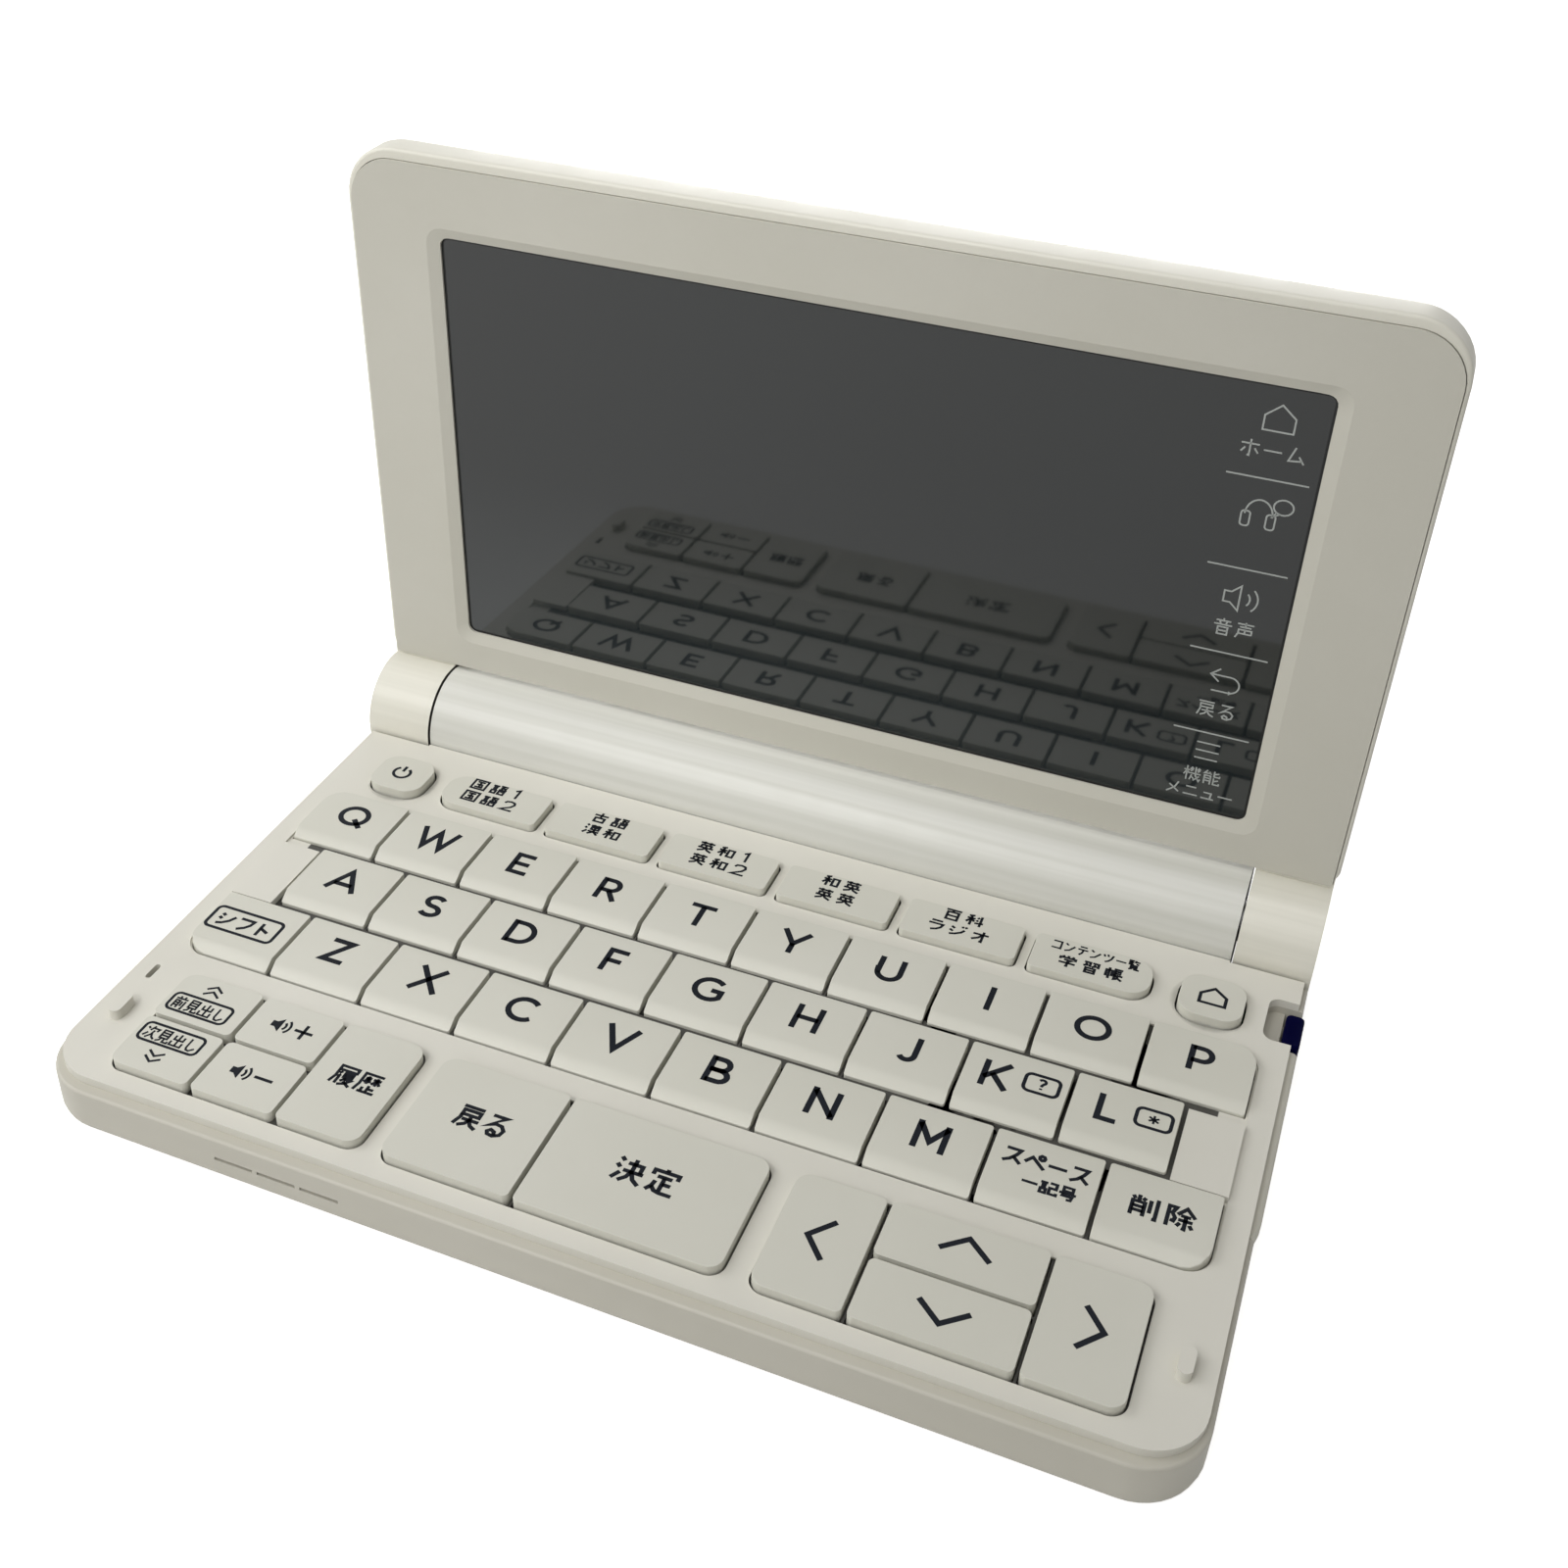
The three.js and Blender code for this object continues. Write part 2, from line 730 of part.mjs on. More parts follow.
// A thin wedge that narrows one side of the stylus towards its tip
function triangle(side, inset, tipRear) {
  const shape = new THREE.Shape();
  const outside = side - inset;
  const beyond = stylusFront - stylusTipLength;
  const points = [[side, tipRear], [side + inset + inset, beyond], [outside, beyond], [outside, tipRear]];
  const ordered = inset > 0 ? points : points.reverse();
  ordered.forEach(([x, y], place) => (place === 0 ? shape.moveTo(x, y) : shape.lineTo(x, y)));
  return shape;
}

function caseOutline() {
  const radii = [0, 0, caseCornerRadius, caseCornerRadius];
  return rectangle(-caseHalfWidth, caseHalfWidth, caseFront, hingeY, radii);
}

// The block that holds the stylus and carries the floor of the finger scoop
function stylusHousing() {
  const inner = stylusInner - grooveGap - grooveWall;
  const front = stylusFront - grooveGap - grooveWall;
  const low = caseFloor * halfShare;
  const channel = block(inner, caseHalfWidth - caseWall, front, scoopRear, low, ledgeHeight);
  const scoopLeft = scoopInner - grooveWall;
  const floorFront = scoopFront - grooveWall;
  const floorRear = scoopRear + grooveWall;
  const floor = block(scoopLeft, caseHalfWidth - caseWall, floorFront, floorRear, low, ledgeHeight);
  return joined(channel, floor);
}

function stylusGroove() {
  const inner = stylusInner - grooveGap;
  const front = stylusFront - grooveGap;
  const low = stylusLow - grooveGap;
  return block(inner, caseHalfWidth + overrun, front, scoopRear, low, ledgeHeight + overrun);
}

function scoop() {
  const radii = [scoopCorner, 0, 0, scoopCorner];
  const outline = rectangle(scoopInner, caseHalfWidth + overrun, scoopFront, scoopRear, radii);
  return raised(outline, scoopFloor, plateauTop + overrun, cornerSteps);
}

// Everything behind the plateau between the two knuckles
function barrelSolid() {
  const half = barrelHalfLength;
  const frontPart = rod(-half, half, hingeY, hingeZ, barrelFrontRadius, barrelSteps);
  const rearPart = rod(-half, half, cellBayY, cellBayZ, barrelRearRadius, barrelSteps);
  const foot = carried(
    [
      [cavityRear, 0],
      [barrelFootRear, cellBayZ - barrelRearRadius],
      [barrelFootRear, cellBayZ],
      [cavityRear, ledgeHeight],
    ],
    -half,
    half,
  );
  return joined(frontPart, rearPart, foot);
}

function cellBay() {
  const half = cellBayHalfLength;
  return rod(-half, half, cellBayY, cellBayZ, cellBayRadius, barrelSteps);
}

// The rear half of the barrel, where the battery cover is, less a gap along its seams
function coverZone(gap, endGap) {
  const half = cellBayHalfLength - endGap;
  const low = cellBayZ - cellBayRadius;
  const high = cellBayZ + cellBayRadius;
  const lean = (coverHighSeam - coverLowSeam) / (high - low);
  const rear = cellBayY + barrelRearRadius + overrun;
  const points = [
    [coverLowSeam + gap - overrun * lean, low - overrun],
    [rear, low - overrun],
    [rear, high + overrun],
    [coverHighSeam + gap + overrun * lean, high + overrun],
  ];
  return carried(points, -half, half);
}

function wallOpenings() {
  const tools = [];
  const middle = slotWidth * halfShare;
  for (let place = 0; place < slotCount; place += 1) {
    const left = slotStart + place * slotPitch;
    const high = slotZ + slotHeight * halfShare;
    const inside = caseFront + caseWall + overrun * halfShare;
    tools.push(block(left, left + middle + middle, caseFront - overrun, inside, high - slotHeight, high));
  }
  const outer = -caseHalfWidth - overrun;
  const inner = -caseHalfWidth + caseWall + overrun * halfShare;
  const openings = [
    [usbY, usbWidth, usbHeight],
    [cardY, cardWidth, cardHeight],
  ];
  for (const [y, width, height] of openings) {
    const halfWidth = width * halfShare;
    const halfHeight = height * halfShare;
    tools.push(block(outer, inner, y - halfWidth, y + halfWidth, plugZ - halfHeight, plugZ + halfHeight));
  }
  tools.push(rod(outer, inner, jackY, jackZ, jackRadius, roundSteps));
  return tools;
}

function lowerCase() {
  const roundBelow = pillow(caseOutline(), 0, ledgeHeight + overrun, caseEdgeRound, cornerSteps);
  const roundAbove = pillow(caseOutline(), -overrun, ledgeHeight, caseRimRound, cornerSteps);
  const rear = block(-caseHalfWidth, caseHalfWidth, sideRear, hingeY, 0, ledgeHeight);
  const innerHalf = caseHalfWidth - caseWall;
  const innerFront = caseFront + caseWall;
  const innerCorner = caseCornerRadius - caseWall;
  const innerRadii = [0, 0, innerCorner, innerCorner];
  const innerOutline = rectangle(-innerHalf, innerHalf, innerFront, cavityRear, innerRadii);
  const cavity = raised(innerOutline, caseFloor, ledgeHeight + overrun, cornerSteps);
  let body = cut(roundBelow.intersect(roundAbove), rear, cavity);
  body = joined(body, stylusHousing());
  body = cut(body, stylusGroove(), scoop());
  body = joined(body, cut(barrelSolid(), aboveLedgeInFront()));
  for (const y of postRows) {
    for (const side of [-1, 0, 1]) {
      const x = side * postSpanX;
      const high = boardLow - postSeat;
      body = joined(body, upright(x, y, caseFloor * halfShare, high, postRadius, postRadius, roundSteps));
    }
  }
  const bossLeft = rod(-cableBossEnd, -cableBoreEnd, hingeY, hingeZ, cableBossRadius, roundSteps);
  body = joined(body, bossLeft);
  body = cut(body, cellBay(), coverZone(0, 0));
  const hingeBore = rod(hingeBoreInner, hingeShaftOuter, hingeY, hingeZ, hingeBoreRadius, roundSteps);
  const cableBore = rod(-cableBossEnd - overrun, -cableBoreEnd, hingeY, hingeZ, cableBossBore, roundSteps);
  body = cut(body, hingeBore, cableBore, ...wallOpenings());
  for (const x of [-footX, footX]) {
    for (const y of [footFront, footRear]) {
      body = cut(body, upright(x, y, -overrun, footDepth, footRadius, footRadius, roundSteps));
    }
  }
  return body;
}

// Keeps the barrel's foot out of the space that the upper case fills
function aboveLedgeInFront() {
  const half = barrelHalfLength + overrun;
  return block(-half, half, 0, plateauRear, ledgeHeight, plateauTop + overrun);
}

function batteryCover() {
  const outer = rod(-barrelHalfLength, barrelHalfLength, cellBayY, cellBayZ, barrelRearRadius, barrelSteps);
  return cut(outer, cellBay()).intersect(coverZone(coverGap, coverEndGap));
}

function battery(start) {
  const end = start + cellLength;
  const can = rod(start, end - cellNubLength, cellBayY, cellBayZ, cellRadius, roundSteps + roundSteps);
  const nub = rod(start + cellNubLength, end, cellBayY, cellBayZ, cellNubRadius, roundSteps);
  return joined(can, nub);
}

function fillers() {
  const bodies = [];
  const margin = letterGap * halfShare;
  const innerLeft = shortRowStart - margin;
  const innerRight = shortRowEnd + margin;
  const outer = letterBlockHalf + wellMargin;
  bodies.push(block(-outer, innerLeft, fillerFront, fillerBack, ledgeHeight, fillerTop));
  bodies.push(block(innerRight, outer, fillerFront, fillerBack, ledgeHeight, fillerTop));
  return bodies;
}

function wells() {
  const tools = [];
  const front = lowerRowBack - letterDepth - wellMargin;
  const half = letterBlockHalf + wellMargin;
  const corner = letterCorner + wellMargin;
  const outline = rectangle(-half, half, front, letterRowBack + wellMargin, even(corner));
  tools.push(raised(outline, wellFloor, plateauTop + overrun, cornerSteps));
  for (const group of lowerGroups) {
    const left = Math.min(...group.map((key) => key.left)) - openingGap;
    const right = Math.max(...group.map((key) => key.right)) + openingGap;
    const low = lowerFront - openingGap;
    const high = lowerBack + openingGap;
    const groupOutline = rectangle(left, right, low, high, even(lowerCorner + openingGap));
    tools.push(raised(groupOutline, wellFloor, plateauTop + overrun, cornerSteps));
  }
  return tools;
}

// A close-fitting opening, square at the corners where the key's own corner is small
function guideOutline(key) {
  const radii = key.radii.map((radius) => (radius > sharpBelow ? radius + guideGap : 0));
  const [left, right] = [key.left - guideGap, key.right + guideGap];
  return rectangle(left, right, key.front - guideGap, key.back + guideGap, radii);
}

function keyOpenings() {
  const tools = [];
  const top = plateauTop + overrun;
  const low = ledgeHeight - overrun;
  for (const key of [...letters, ...lowerGroups.flat()]) {
    tools.push(raised(guideOutline(key), low, top, cornerSteps));
  }
  for (const key of [...topics, ...rounds]) {
    tools.push(raised(keyOutline(key, openingGap), low, top, cornerSteps));
  }
  const halfWidth = micWidth * halfShare;
  const halfLength = micLength * halfShare;
  const micFront = micY - halfLength;
  const micBack = micY + halfLength;
  const slot = rectangle(micX - halfWidth, micX + halfWidth, micFront, micBack, even(halfWidth));
  tools.push(raised(slot, low, top, cornerSteps));
  return tools;
}

function locatingLips() {
  const high = ledgeHeight + lipGap;
  const low = ledgeHeight - lipDepth;
  const outer = caseHalfWidth - caseWall - lipGap;
  const front = caseFront + caseWall + lipGap;
  return [
    block(-outer, lipWidth - outer, lipSideFront, lipSideEnd, low, high),
    block(outer - lipWidth, outer, lipSideFront, lipSideEnd, low, high),
    block(-lipFrontHalf, lipFrontHalf, front, front + lipWidth, low, high),
  ];
}

function bumper(x) {
  const halfWidth = bumperHalfWidth;
  const halfLength = bumperHalfLength;
  const front = bumperY - halfLength;
  const back = bumperY + halfLength;
  const outline = rectangle(x - halfWidth, x + halfWidth, front, back, even(halfWidth));
  return raised(outline, ledgeHeight, plateauTop + bumperHeight, cornerSteps);
}

function bumperDish(x) {
  const radius = bumperHalfWidth + bumperRing;
  const stretch = (bumperHalfLength + bumperRing) / radius;
  return dish(x, bumperY, plateauTop, radius, bumperDishDepth, stretch, smallCornerSteps);
}

function upperCase() {
  const radii = [0, 0, plateauCornerRadius, plateauCornerRadius];
  const half = plateauHalfWidth;
  const outline = rectangle(-half, half, plateauFront, plateauRear, radii);
  let body = raised(outline, ledgeHeight, plateauTop, cornerSteps);
  const behind = plateauRear + overrun;
  const low = ledgeHeight - overrun;
  const high = plateauTop + overrun;
  const outside = half + overrun;
  const notchLeft = block(-outside, -barrelHalfLength, sideRear, behind, low, high);
  const notchRight = block(barrelHalfLength, outside, sideRear, behind, low, high);
  body = cut(body, notchLeft, notchRight, ...wells());
  body = joined(body, ...fillers(), ...locatingLips());
  for (const x of [-roundKeyX, roundKeyX]) {
    body = cut(body, dish(x, roundKeyY, plateauTop, dishRadius, dishDepth, 1, dishRings));
  }
  for (const x of [-bumperX, bumperX]) {
    body = joined(cut(body, bumperDish(x)), bumper(x));
  }
  body = cut(body, ...keyOpenings(), scoop());
  return body;
}

function mainBoard() {
  const half = boardHalfWidth;
  const outline = rectangle(-half, half, boardFront, boardRear, even(boardCorner));
  const high = boardLow + boardThickness;
  let body = raised(outline, boardLow, high, cornerSteps);
  const outer = -caseHalfWidth + caseWall + socketInset;
  const inner = outer + socketLength;
  const sockets = [
    [usbY, usbWidth * halfShare, plugZ + usbHeight * halfShare],
    [cardY, cardWidth * halfShare, plugZ + cardHeight * halfShare],
    [jackY, jackHalfWidth, jackZ + jackRadius],
  ];
  for (const [y, halfWidth, top] of sockets) {
    const reach = halfWidth + socketMargin;
    body = joined(body, block(outer, inner, y - reach, y + reach, boardLow, top + socketMargin));
  }
  return body;
}

function keypadMat() {
  const half = boardHalfWidth - matInset;
  const outline = rectangle(-half, half, boardFront + matInset, boardRear - matInset, even(boardCorner));
  const top = matLow + matThickness;
  let body = raised(outline, matLow, top, cornerSteps);
  for (const key of allKeys) {
    const x = (key.left + key.right) * halfShare;
    const y = (key.front + key.back) * halfShare;
    body = joined(body, upright(x, y, matLow, domeTop, domeLowRadius, domeHighRadius, domeSteps));
  }
  return body;
}

function hingeUnit() {
  const shaft = rod(hingeShaftInner, hingeShaftOuter, 0, 0, hingeShaftRadius, roundSteps);
  const flangeEnd = hingeFlangeInner + hingeFlangeThickness;
  const flange = rod(hingeFlangeInner, flangeEnd, 0, 0, hingeFlangeRadius, roundSteps);
  return joined(shaft, flange);
}

// Lid outlines are drawn in X and Z and carried back from the face, so they are turned once here
function lidPlate(shape, frontY, backY, round, steps) {
  const depth = backY - frontY;
  const geometry = new THREE.ExtrudeGeometry(shape, {
    depth: depth - round - round,
    bevelEnabled: round > 0,
    bevelThickness: round,
    bevelSize: round,
    bevelOffset: -round,
    bevelSegments: edgeSteps,
    curveSegments: steps,
  });
  geometry.rotateX(quarterTurn);
  geometry.translate(0, backY - round, 0);
  return solid(geometry);
}

function lidOutline() {
  const low = lidLow;
  const high = lidLow + lidLength;
  const radii = [lidTopCorner, lidTopCorner, lidLowCorner, lidLowCorner];
  return rectangle(-lidHalfWidth, lidHalfWidth, low, high, radii);
}

function bezelOutline(margin) {
  const half = bezelHalfWidth + margin;
  const top = bezelTopCorner + margin;
  const low = bezelLowCorner + margin;
  const bottom = lidLow - margin;
  return rectangle(-half, half, bottom, lidLow + bezelLength + margin, [top, top, low, low]);
}

function knuckle(left, right) {
  const round = rod(left, right, 0, 0, knuckleRadius, barrelSteps);
  const back = faceOffset + lidThickness;
  const rise = lidLow + webRise;
  const face = faceOffset + rimSetback;
  const web = carried([[face, 0], [knuckleRadius, 0], [back, rise], [face, rise]], left, right);
  return joined(round, web);
}

// Seats in the knuckles: the hinge unit on the right, the cable boss on the left
function knuckleHoles() {
  const gap = hingeShaftGap;
  const radius = hingeShaftRadius + gap;
  const flangeStart = hingeFlangeInner - gap;
  const flangeEnd = hingeFlangeInner + hingeFlangeThickness + gap;
  const bossEnd = cableBossEnd + cableBossGap;
  return [
    rod(knuckleInner - overrun, hingeShaftOuter + gap, 0, 0, radius, roundSteps),
    rod(flangeStart, flangeEnd, 0, 0, hingeFlangeRadius + gap, roundSteps),
    rod(-bossEnd, overrun - knuckleInner, 0, 0, cableBossRadius + cableBossGap, roundSteps),
  ];
}

function lidBackCover() {
  const face = faceOffset;
  const back = face + lidThickness;
  const outer = lidPlate(lidOutline(), face - overrun, back, lidBackRound, cornerSteps);
  const soft = lidPlate(lidOutline(), face + rimSetback, back + overrun, lidFrontRound, cornerSteps);
  let body = outer.intersect(soft);
  body = joined(body, knuckle(-knuckleOuter, -knuckleInner), knuckle(knuckleInner, knuckleOuter));
  const seatDepth = face + bezelThickness + bezelBottomGap;
  body = cut(body, lidPlate(bezelOutline(bezelSeam), face - overrun, seatDepth, 0, cornerSteps));
  const insetHalf = bezelHalfWidth - lidWall;
  const insetLow = lidLow + lidWall;
  const insetHigh = lidLow + bezelLength - lidWall;
  const insetCorner = bezelTopCorner - lidWall;
  const insetRadii = [insetCorner, insetCorner, 0, 0];
  const inset = rectangle(-insetHalf, insetHalf, insetLow, insetHigh, insetRadii);
  body = cut(body, lidPlate(inset, face, back - lidFloor, 0, cornerSteps));
  return cut(body, ...knuckleHoles());
}

// The frame's opening slopes from the wide mouth on the face to the window's edge
function windowMouth() {
  const mouth = rectangle(
    -recessHalfWidth,
    recessHalfWidth,
    lidLow + recessLow,
    lidLow + recessHigh,
    even(recessCorner),
  );
  const points = mouth.getPoints(smallCornerSteps);
  const floor = faceOffset + recessDepth;
  const spanX = windowHalfWidth / recessHalfWidth;
  const middle = lidLow + (recessLow + recessHigh) * halfShare;
  const innerMiddle = lidLow + (windowLow + windowHigh) * halfShare;
  const spanZ = (windowHigh - windowLow) / (recessHigh - recessLow);
  const rings = [
    points.map((point) => [point.x, faceOffset - recessDepth, point.y]),
    points.map((point) => [point.x, faceOffset, point.y]),
    points.map((point) => [point.x * spanX, floor, innerMiddle + (point.y - middle) * spanZ]),
  ];
  return lofted(rings);
}

// A closed skin over stacked rings with equal numbers of points
function lofted(rings) {
  const unique = rings.map((ring) => ring.slice(0, ring.length - 1));
  const count = unique[0].length;
  const positions = unique.flat(2);
  const faces = [];
  const flat = unique[0].map(([x, , z]) => new THREE.Vector2(x, z));
  const caps = THREE.ShapeUtils.triangulateShape(flat, []);
  for (const [a, b, c] of caps) {
    faces.push(a, b, c);
  }
  const last = (unique.length - 1) * count;
  for (const [a, b, c] of caps) {
    faces.push(last + c, last + b, last + a);
  }
  for (let ring = 0; ring < unique.length - 1; ring += 1) {
    for (let place = 0; place < count; place += 1) {
      const next = (place + 1) % count;
      const a = ring * count + place;
      const b = ring * count + next;
      faces.push(a, a + count, b);
      faces.push(b, a + count, b + count);
    }
  }
  const geometry = new THREE.BufferGeometry();
  geometry.setAttribute('position', new THREE.Float32BufferAttribute(positions, 3));
  geometry.setIndex(faces);
  return solid(geometry);
}

function lidFrontBezel() {
  const face = faceOffset;
  let body = lidPlate(bezelOutline(0), face, face + bezelThickness, 0, cornerSteps);
  const half = windowHalfWidth;
  const low = lidLow + windowLow;
  const high = lidLow + windowHigh;
  const window = rectangle(-half, half, low, high, even(windowCorner));
  body = cut(body, lidPlate(window, face - overrun, face + overrun, 0, smallCornerSteps), windowMouth());
  const pocketHalf = panelHalfWidth + panelGap;
  const pocketLow = lidLow + panelLow - panelGap;
  const pocketHigh = lidLow + panelHigh + panelGap;
  const pocket = rectangle(-pocketHalf, pocketHalf, pocketLow, pocketHigh, even(panelCorner));
  body = cut(body, lidPlate(pocket, face + panelLip, face + overrun, 0, smallCornerSteps));
  const pinX = bezelHalfWidth - bezelPinInset;
  const pinStart = face + bezelPinRadius;
  const pinEnd = face + lidThickness - lidFloor - panelSeat;
  for (const x of [-pinX, pinX]) {
    for (const z of [lidLow + bezelPinInset, lidLow + bezelLength - bezelPinInset]) {
      const pin = new THREE.CylinderGeometry(bezelPinRadius, bezelPinRadius, pinEnd - pinStart, domeSteps);
      pin.translate(x, (pinEnd + pinStart) * halfShare, z);
      body = joined(body, solid(pin));
    }
  }
  return body;
}

function displayPanel() {
  const front = faceOffset + panelLip + panelSeat;
  const low = lidLow + panelLow;
  const high = lidLow + panelHigh;
  const outline = rectangle(-panelHalfWidth, panelHalfWidth, low, high, even(panelCorner));
  return lidPlate(outline, front, front + panelThickness, 0, smallCornerSteps);
}

// Materials
const ivory = 0xe3e3dc;
const warmIvory = 0xdedccb;
const greyIvory = 0xc8c6bb;
const navy = 0x05003c;
const board = 0x1f5a35;
const rubberGrey = 0xb9bab4;
const glassBlack = 0x24292a;
const steel = 0xa8a9ab;
const cellBlue = 0x3a3f46;

function material(color, roughness, metalness) {
  return new THREE.MeshStandardMaterial({ color, roughness, metalness });
}

const group = new THREE.Group();
group.name = 'electronic_dictionary';

function place(name, body, look) {
  const mesh = new THREE.Mesh(surface(body), look);
  mesh.name = name;
  group.add(mesh);
  return mesh;
}

// Stands a lid piece on the hinge axis at the angle of the open lid
function placeOnLid(name, body, look) {
  const mesh = place(name, body, look);
  mesh.geometry.rotateX(THREE.MathUtils.degToRad(lidLean));
  mesh.geometry.translate(0, hingeY, hingeZ);
}

const plasticRoughness = 0.55;
const glossRoughness = 0.12;
const metalRoughness = 0.35;

place('lower_case', lowerCase(), material(ivory, plasticRoughness, 0));
place('upper_case', upperCase(), material(ivory, plasticRoughness, 0));
place('battery_cover', batteryCover(), material(ivory, plasticRoughness, 0));
const cellMiddleGap = cellSpacing * halfShare;
place('battery_left', battery(-cellLength - cellMiddleGap), material(cellBlue, metalRoughness, 1));
place('battery_right', battery(cellMiddleGap), material(cellBlue, metalRoughness, 1));
place('main_board', mainBoard(), material(board, plasticRoughness, 0));
place('keypad_mat', keypadMat(), material(rubberGrey, plasticRoughness, 0));
place('stylus', stylusBody(), material(navy, plasticRoughness, 0));
placeOnLid('lid_back_cover', lidBackCover(), material(warmIvory, plasticRoughness, 0));
placeOnLid('lid_front_bezel', lidFrontBezel(), material(greyIvory, plasticRoughness, 0));
placeOnLid('display_panel', displayPanel(), material(glassBlack, glossRoughness, 0));
placeOnLid('hinge_unit', hingeUnit(), material(steel, metalRoughness, 1));
for (const key of allKeys) {
  place(key.name, keyBody(key), material(ivory, plasticRoughness, 0));
}

export default group;
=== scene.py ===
import math

import bmesh
import bpy
from mathutils import Matrix, Vector


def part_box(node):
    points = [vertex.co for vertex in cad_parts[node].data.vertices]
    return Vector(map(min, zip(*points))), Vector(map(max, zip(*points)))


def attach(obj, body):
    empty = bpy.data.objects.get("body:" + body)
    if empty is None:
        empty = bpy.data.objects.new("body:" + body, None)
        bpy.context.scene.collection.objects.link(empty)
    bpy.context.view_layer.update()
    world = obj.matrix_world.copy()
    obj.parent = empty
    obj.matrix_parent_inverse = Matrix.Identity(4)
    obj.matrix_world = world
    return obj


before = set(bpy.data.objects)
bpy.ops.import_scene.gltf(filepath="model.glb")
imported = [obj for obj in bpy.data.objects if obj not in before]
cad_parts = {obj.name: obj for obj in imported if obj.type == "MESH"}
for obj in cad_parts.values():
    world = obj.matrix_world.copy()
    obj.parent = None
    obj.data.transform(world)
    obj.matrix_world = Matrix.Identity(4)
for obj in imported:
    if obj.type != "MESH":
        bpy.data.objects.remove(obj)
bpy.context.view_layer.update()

# Sizes are written in millimetres and turned into metres where a mesh is made.
MM = 0.001

# Heights and places repeated from the solid model
KEY_TOP = 9.37
WELL_FLOOR = 7.85
WELL_RISE = 0.11
WELL_BLUR = 0.09
WELL_FRONT = -47.6
WELL_HALF_WIDTH = 66.2
BARREL_END = 62.75
KNUCKLE_INNER = 63.05
KNUCKLE_OUTER = 73.5
LID_CLEAR = 17.3
HINGE_Y = 40.48
HINGE_Z = 8.99
LID_LEAN = 1.85
FACE_OFFSET = 1.27
LID_LOW = 8.78
PANEL_DEPTH = 0.9
WINDOW_HALF_WIDTH = 60.15
WINDOW_LOW = 6.72
WINDOW_HIGH = 71.11
GLASS_LEAN = 3.4
# Where the glass's painted reflection of the keyboard fades in, and over how far
GLASS_REFLECTION_LINE = 42.0
GLASS_REFLECTION_RUN = 12.0
STYLUS_COLOUR_LINE = 18.7
LAMP_TINT = (1.0, 0.995, 0.985)
WHITE = (1, 1, 1, 1)
GRAIN_DEPTH = 0.1
PLASTIC_IOR = 1.46
GLASS_IOR = 1.68
FLOOR_LIFT = 0.74
FLOOR_REFLECTED_LIFT = 0.14
BARREL_FRONT = 32.2
BARREL_REAR_RADIUS = 8.45
BARREL_Y = 40.83
BARREL_Z = 8.64
CELL_PITCH = 50.9
CELL_METAL = 1.7
CELL_BAND = 14.0
CELL_BLUR = 0.05
FEET_MIDDLE = -7.88
JACK_Y = 20.0
JACK_Z = 4.3
USB_Y = 6.0
CARD_Y = -9.0
SOCKET_Z = 3.7
SOCKET_BACK = -71.95

# Edges flatter than this are shaded as one surface; the bezel's sloped rim is kept
EDGE_ANGLE = 32
SLOPE_ANGLE = 12
PLAIN_ANGLE = 0.4
ROUNDED_ANGLE = 34
WELD_GAP = 0.002
KEY_ROUNDING = 0.14

# Printing
CAP_HEIGHT = 4.7
CAP_STROKE = 0.81
INK_RISE = 0.015
INK_SINK = 0.01
ROW_TEXT_DROP = 2.5
ARC_STEPS = 18
SIGN_SQUARE = 100

LETTER_ROWS = [
    ("qwertyuiop", 14.8),
    ("asdfghjkl", 1.4),
    ("zxcvbnm", -12.0),
]


# Node trees


def fill(node, values):
    for name, value in values.items():
        node.inputs[name].default_value = value


def added(tree, kind, values=None, **settings):
    """A new node with these settings, and these values on its inputs."""
    node = tree.nodes.new(kind)
    for name, value in settings.items():
        setattr(node, name, value)
    fill(node, values or {})
    return node


def wire(tree, start, output, end, target):
    """Links one node's output to another node's input, each by its name or its number."""
    tree.links.new(start.outputs[output], end.inputs[target])


def calculated(tree, operation, *values):
    """What a maths node makes of one to three values, each a number or another's output."""
    node = added(tree, "ShaderNodeMath", operation=operation)
    for place, value in enumerate(values):
        if isinstance(value, float):
            node.inputs[place].default_value = value
        else:
            tree.links.new(value, node.inputs[place])
    return node.outputs[0]


def new_group(name, kind, inputs, outputs):
    """An empty group with its two end nodes; a socket is its name, kind and first value."""
    tree = bpy.data.node_groups.new(name, kind)
    for way, sockets in (("INPUT", inputs), ("OUTPUT", outputs)):
        for label, holds, value in sockets:
            socket = tree.interface.new_socket(name=label, in_out=way, socket_type="NodeSocket" + holds)
            if value is not None:
                socket.default_value = value
    return tree, tree.nodes.new("NodeGroupInput"), tree.nodes.new("NodeGroupOutput")


def new_material(name):
    material = bpy.data.materials.new(name)
    material.use_nodes = True
    return material, material.node_tree, material.node_tree.nodes["Principled BSDF"]


# Camera


def make_camera():
    data = bpy.data.cameras.new("camera")
    data.sensor_width = 36.0
    data.lens = 42.919
    data.shift_x = 0.0376
    data.shift_y = -0.0536
    data.clip_start = 0.01
    camera = bpy.data.objects.new("camera", data)
    bpy.context.scene.collection.objects.link(camera)
    camera.location = Vector((67.11, -176.23, 178.8)) * MM
    camera.rotation_euler = (math.radians(56.3738), math.radians(-1.6044), math.radians(22.1263))
    bpy.context.scene.camera = camera


# Light, floor and world


